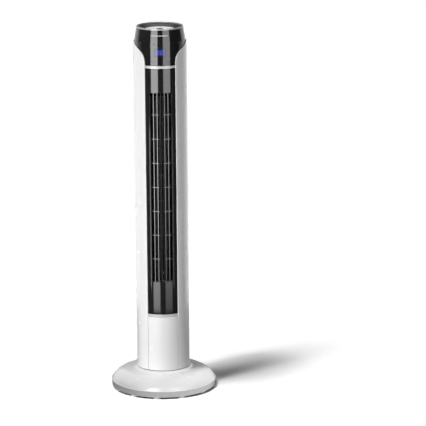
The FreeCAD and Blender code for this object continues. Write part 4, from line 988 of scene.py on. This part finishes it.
# ---- rim ring and top tray ----
# A polished ring is pressed over the hood's top edge. Inside it a gloss-black tray slopes
# down to the well that carries the dial.
ring_low, ring_high = corners("top_rim_ring")
ring_inner = ring_high.x - 4.6 * mm
ring_fillet = 1.6 * mm
polished_rim = metal("polished_rim", grey(0.46), grey(0.40), 0.24, 0.34, (400.0, 400.0, 1500.0), height=6e-7,
                     metallic=0.2)
ring_line = [(ring_inner, ring_low.z), (ring_high.x, ring_low.z)]
ring_line += arc_points((ring_high.x - ring_fillet, ring_high.z - ring_fillet), ring_fillet, 0, 90, 6)
ring_line += arc_points((ring_inner + ring_fillet, ring_high.z - ring_fillet), ring_fillet, 90, 180, 6)
rim = rounded(spun("rim", ring_line, 160), 0.2 * mm, 2, 60)
place_piece(rim, polished_rim, "tower", "rim_silver", "top_rim_ring")
tray_high = corners("top_tray")[1]
dial_low, dial_high = corners("dial_plate")
well_radius = dial_high.x + 0.3 * mm
tray_wall = 2 * mm
well_edge = dial_high.z - 0.6 * mm
well_lip = well_radius - 5 * mm
well_floor = dial_low.z - tray_wall
tray_line = [(tray_high.x, tray_high.z), (ring_inner - 1.2 * mm, tray_high.z), (well_radius, well_edge),
             (well_radius, dial_low.z), (well_lip, dial_low.z), (well_lip, well_floor),
             (well_radius + tray_wall, well_floor),
             (well_radius + tray_wall, well_edge - tray_wall), (tray_high.x, tray_high.z - tray_wall)]
tray = rounded(spun("tray", tray_line, 160), 0.5 * mm, 3, 15)
place_piece(tray, gloss_black, "tower", "black_gloss", "top_tray")

# ---- dial plate ----
# A disc of silvered plastic with a turned grain and one fine ring. Four arc-shaped keys
# and the round power button come up through it.
key_inner = 20 * mm
key_outer = 35 * mm
key_half_angle = 36.0
key_gap = 0.3 * mm
button_radius = 10 * mm
dial_radius = dial_high.x


def rings_group():
    """Turned grain: fine rings round the dial's middle, as gloss, colour and relief."""
    tree, given = finish_tree("turned_rings", Rings_per_metre="Float")
    place = add_node(tree, "ShaderNodeTexCoord")["Object"]
    flat = add_node(tree, "ShaderNodeVectorMath", place, (1, 1, 0), operation="MULTIPLY")["Vector"]
    radius = add_node(tree, "ShaderNodeVectorMath", flat, operation="LENGTH")["Value"]
    lines = add_node(tree, "ShaderNodeTexNoise", noise_dimensions="1D", W=radius,
                     Scale=given["Rings per metre"], Detail=3.0)["Fac"]
    return end_finish(tree, given, lines, lines)


silvered = new_finish("silvered", rings_group(), {"Metallic": 0.05}, Main_colour=grey(0.92),
                      Second_colour=grey(0.80), Smoothest=0.26, Roughest=0.40, Relief_height=1.5e-6,
                      Rings_per_metre=2500.0)


def flat_sector(name, radii, angles, top, wall, is_open=None, closed=False):
    """A flat plate on a grid of rings and spokes, its upper face at a height."""
    builder = bmesh.new()
    grid = [[builder.verts.new(around(angle, radius, top)) for angle in angles] for radius in radii]
    for ring in range(len(radii) - 1):
        for spoke in range(len(angles) if closed else len(angles) - 1):
            after = (spoke + 1) % len(angles)
            last = angles[after] + (360 if after == 0 else 0)
            if is_open and is_open((radii[ring] + radii[ring + 1]) / 2, (angles[spoke] + last) / 2):
                continue
            inner, outer = grid[ring:ring + 2]
            builder.faces.new([inner[spoke], outer[spoke], outer[after], inner[after]])
    bmesh.ops.recalc_face_normals(builder, faces=builder.faces)
    if builder.faces[:][0].normal.z < 0:
        bmesh.ops.reverse_faces(builder, faces=builder.faces)
    return thickened(bare_piece(name, builder), wall, even=False)


key_places = {"key_speed": 0.0, "key_timer": 90.0, "key_mode": 180.0, "key_swing": 270.0}
key_middle = (key_inner + key_outer) / 2
gap_angle = math.degrees(key_gap / key_middle)


def dial_open(radius, angle):
    nearest = min(abs((angle - place + 180) % 360 - 180) for place in key_places.values())
    return key_inner - key_gap < radius < key_outer + key_gap and nearest < key_half_angle + gap_angle


dial_angles = sorted({round(place + side * (key_half_angle + gap_angle), 6) % 360
                      for place in key_places.values() for side in (-1, 1)}
                     | {float(angle) for angle in range(0, 360, 3)
                        if min(abs((angle - place + 180) % 360 - 180) for place in key_places.values()) < 35
                        or angle % 90 == 45})
fine_ring = (38 * mm, 38.25 * mm, 38.75 * mm, 39 * mm)
fine_ring_depth = 0.3 * mm
dial_radii = [button_radius + key_gap, key_inner - key_gap, key_outer + key_gap, *fine_ring, dial_radius]
dial = flat_sector("dial", dial_radii, dial_angles, dial_high.z, dial_high.z - dial_low.z, dial_open,
                   closed=True)
for vertex in dial.data.vertices:
    radius = math.hypot(vertex.co.x, vertex.co.y)
    if fine_ring[0] + 0.2 * mm < radius < fine_ring[3] - 0.2 * mm and vertex.co.z > dial_high.z - 0.1 * mm:
        vertex.co.z -= fine_ring_depth
rounded(dial, 0.25 * mm, 2, 40)
place_piece(dial, silvered, "tower", "dial_silver", "dial_plate")

# ---- keys and power button ----
# Each key is an arc-shaped cap with a flange under the dial and a stem down to its switch.
# The power button in the middle is dark, with one shallow ring moulded in its face.
key_low, key_high = (corner.z for corner in corners("key_speed"))
flange_top = dial_low.z - 0.2 * mm
flange_wall = 1.4 * mm
flange_reach = 1.2 * mm
stem_radius = 2.5 * mm
key_caps = []
for name, place in key_places.items():
    cap = flat_sector("cap", spaced(key_inner, key_outer, 4),
                      spaced(place - key_half_angle, place + key_half_angle, 24), key_high,
                      key_high - flange_top + 0.5 * mm)
    rounded(cap, 0.45 * mm, 3, 40)
    reach_angle = key_half_angle + math.degrees(flange_reach / key_inner)
    flange = flat_sector("flange", [key_inner - flange_reach, key_outer + flange_reach],
                         spaced(place - reach_angle, place + reach_angle, 16), flange_top, flange_wall)
    stem_ends = [around(place, key_middle, height) for height in (key_low, flange_top - 1 * mm)]
    stem = rod("stem", *stem_ends, stem_radius)
    key_caps.append(joined(name + "_cap", cap, flange, stem))
    place_piece(key_caps[-1], silvered, name, "dial_silver", name)
button_dark = moulded("button_dark", grey(0.03), grey(0.04), 0.16, 0.26, ripples=500.0, dust=0.2)
button_ring = key_high - 0.25 * mm
button_line = [(0, key_high), (button_radius - 2.6 * mm, key_high), (button_radius - 2.4 * mm, button_ring),
               (button_radius - 1.9 * mm, button_ring), (button_radius - 1.7 * mm, key_high)]
button_line += arc_points((button_radius - 0.6 * mm, key_high - 0.6 * mm), 0.6 * mm, 90, 0, 4)
flange_low = flange_top - flange_wall
button_line += [(button_radius, flange_top), (button_radius + flange_reach, flange_top),
                (button_radius + flange_reach, flange_low), (stem_radius, flange_low), (stem_radius, key_low),
                (0, key_low)]
button = softened(spun("power_cap", button_line, 72), 35)
place_piece(button, button_dark, "power_button", "dark_button", "power_button")

# ---- floor, lights and camera ----
# A plain pale floor and room, a wide key light from the front left made of seven small suns,
# four soft boxes, and six tall panels that only show in the gloss. None is part of the fan.
scene = bpy.context.scene
scene.view_settings.view_transform = "Standard"


def emptied_tree(holder):
    """The node tree of a material or a world, emptied."""
    holder.use_nodes = True
    holder.node_tree.nodes.clear()
    return holder.node_tree


floor_mesh = bmesh.new()
bmesh.ops.create_grid(floor_mesh, x_segments=1, y_segments=1, size=60.0)
floor = new_piece("floor", floor_mesh)
floor_paint = bpy.data.materials.new("floor_paint")
tree = emptied_tree(floor_paint)
paths = add_node(tree, "ShaderNodeLightPath")
seen = add_node(tree, "ShaderNodeBsdfDiffuse", Color=grey(1.43))["BSDF"]
bounce = add_node(tree, "ShaderNodeBsdfDiffuse", Color=grey(0.38))["BSDF"]
# in the gloss the floor is a painted reflection: a glow that grows brighter towards the back
place = add_node(tree, "ShaderNodeTexCoord")["Object"]
depth = add_node(tree, "ShaderNodeSeparateXYZ", Vector=place)["Y"]
behind = add_node(tree, "ShaderNodeMapRange", Value=depth, From_Min=0.1, From_Max=1.2, To_Min=0.05,
                  To_Max=0.6)["Result"]
in_gloss = add_node(tree, "ShaderNodeEmission", Strength=behind)["Emission"]
plain = add_node(tree, "ShaderNodeMixShader", paths["Is Camera Ray"], bounce, seen)["Shader"]
whole = add_node(tree, "ShaderNodeMixShader", paths["Is Glossy Ray"], plain, in_gloss)["Shader"]
add_node(tree, "ShaderNodeOutputMaterial", Surface=whole)
floor.data.materials.append(floor_paint)
panel_distance = 0.95
panel_fade_height = 0.4


def reflector(name, first, last, low, high, strength, foot_strength):
    """A tall curved panel that only glossy surfaces see, dimmer near the floor."""
    builder = bmesh.new()
    rows = [(panel_distance, low), (panel_distance, high)]
    sheet_mesh(builder, rows, lambda height: spaced(first, last, 12))
    panel = new_piece(name, builder)
    glow = bpy.data.materials.new(name + "_glow")
    tree = emptied_tree(glow)
    place = add_node(tree, "ShaderNodeTexCoord")["Object"]
    height = add_node(tree, "ShaderNodeSeparateXYZ", Vector=place)["Z"]
    fade = add_node(tree, "ShaderNodeMapRange", Value=height, From_Min=0.0, From_Max=panel_fade_height,
                    To_Min=foot_strength, To_Max=strength)["Result"]
    lamp = add_node(tree, "ShaderNodeEmission", Strength=fade)["Emission"]
    add_node(tree, "ShaderNodeOutputMaterial", Surface=lamp)
    panel.data.materials.append(glow)
    panel.visible_camera = False
    panel.visible_diffuse = False
    panel.visible_shadow = False
    panel.visible_transmission = False


# each panel's first and last angle from the front, foot, top, and strength above and at the foot
reflector("left_panel", -41, -11, 0.0, 1.35, 7.8, 3.6)
reflector("right_panel", 12.5, 43, 0.0, 1.35, 4.6, 1.2)
reflector("left_stand_panel", -54, -49, 0.08, 0.62, 5.0, 5.0)
reflector("right_stand_panel", 49, 54, 0.08, 0.62, 1.6, 1.6)
reflector("left_edge_panel", -160, -112, 0.0, 1.4, 1.3, 1.3)
reflector("right_edge_panel", 112, 160, 0.0, 1.4, 1.3, 1.3)

# the room is white to the eye, faint as light, and brighter overhead in the gloss
world = bpy.data.worlds.new("studio")
scene.world = world
tree = emptied_tree(world)
paths = add_node(tree, "ShaderNodeLightPath")
way = add_node(tree, "ShaderNodeTexCoord")["Generated"]
parts = add_node(tree, "ShaderNodeSeparateXYZ", Vector=way)
behind = add_node(tree, "ShaderNodeMapRange", Value=parts["Y"], From_Min=0.0, From_Max=0.5, To_Min=0.07,
                  To_Max=0.25)["Result"]
overhead = add_node(tree, "ShaderNodeMapRange", Value=parts["Z"], From_Min=0.5, From_Max=0.8,
                    To_Max=1.4)["Result"]
strength = add_node(tree, "ShaderNodeMath", behind, overhead, operation="ADD")["Value"]
soft = add_node(tree, "ShaderNodeBackground", Color=grey(1.0), Strength=0.06)["Background"]
in_gloss = add_node(tree, "ShaderNodeBackground", Strength=strength)["Background"]
white_room = add_node(tree, "ShaderNodeBackground", Color=grey(1.0))["Background"]
plain = add_node(tree, "ShaderNodeMixShader", paths["Is Glossy Ray"], soft, in_gloss)["Shader"]
whole = add_node(tree, "ShaderNodeMixShader", paths["Is Camera Ray"], plain, white_room)["Shader"]
add_node(tree, "ShaderNodeOutputWorld", Surface=whole)


def aimed(name, lamp, position, aim):
    """A lamp that looks along a direction and leaves no mark in the gloss."""
    light = bpy.data.objects.new(name, lamp)
    light.matrix_world = Matrix.Translation(position) @ aim.to_track_quat("-Z", "Y").to_matrix().to_4x4()
    light.visible_glossy = False
    scene.collection.objects.link(light)
    return light


# the key light's suns: how far each throws the fan's top to the right and back along the
# floor, and its energy
key_directions = ((0.27, 0.26, 0.38), (0.34, 0.28, 0.36), (0.43, 0.34, 0.28), (0.51, 0.38, 0.16),
                  (0.39, 0.22, 0.38), (0.35, 0.15, 0.36), (0.28, 0.07, 0.28))
key_width = math.radians(4.5)
fan_height = 1.085
for number, (across, back, energy) in enumerate(key_directions):
    sun = bpy.data.lights.new("key_light_" + str(number), "SUN")
    sun.energy = energy
    sun.angle = key_width
    aimed(sun.name, sun, (0, 0, 0), Vector((across, back, -fan_height)))


def soft_box(name, position, target, width, height, power, state, *pieces):
    """A soft box that spares some pieces, or lights only them."""
    lamp = bpy.data.lights.new(name, "AREA")
    lamp.shape = "RECTANGLE"
    lamp.size = width
    lamp.size_y = height
    lamp.energy = power
    flags = bpy.data.collections.new(name + "_flags")
    for number, piece in enumerate(pieces):
        flags.objects.link(piece)
        flags.collection_objects[number].light_linking.link_state = state
    box = aimed(name, lamp, position, Vector(target) - Vector(position))
    box.light_linking.receiver_collection = flags


soft_box("front_box", (-0.9, -1.6, 0.5), (0, 0, 0.5), 0.8, 1.2, 33.0, "EXCLUDE", floor, base_dish)
soft_box("side_box", (1.6, 0.35, 0.4), (0, 0, 0.3), 0.5, 0.8, 7.0, "EXCLUDE", floor)
soft_box("base_box", (0.9, -1.3, 0.35), (0, 0, 0.02), 0.4, 0.4, 10.0, "INCLUDE", base_dish)
soft_box("dial_box", (0.3, -0.9, 2.3), (0, 0, 1.07), 0.4, 0.4, 11.0, "INCLUDE", dial, *key_caps)

camera_place = Vector((0.0, -7.5497, 2.3261))
camera_pitch = math.radians(13.421)
camera_yaw = math.radians(1.143)
camera_roll = math.radians(-0.404)
ahead = Vector((math.sin(camera_yaw) * math.cos(camera_pitch), math.cos(camera_yaw) * math.cos(camera_pitch),
                -math.sin(camera_pitch)))
level = Vector((math.cos(camera_yaw), -math.sin(camera_yaw), 0))
upright = level.cross(ahead)
right = math.cos(camera_roll) * level + math.sin(camera_roll) * upright
top = -math.sin(camera_roll) * level + math.cos(camera_roll) * upright
camera_data = bpy.data.cameras.new("camera")
camera_data.lens = 222.6
camera_data.sensor_width = 36.0
camera_data.clip_end = 200.0
camera = bpy.data.objects.new("camera", camera_data)
turned = Matrix((right, top, -ahead)).transposed().to_4x4()
camera.matrix_world = Matrix.Translation(camera_place) @ turned
scene.collection.objects.link(camera)
scene.camera = camera
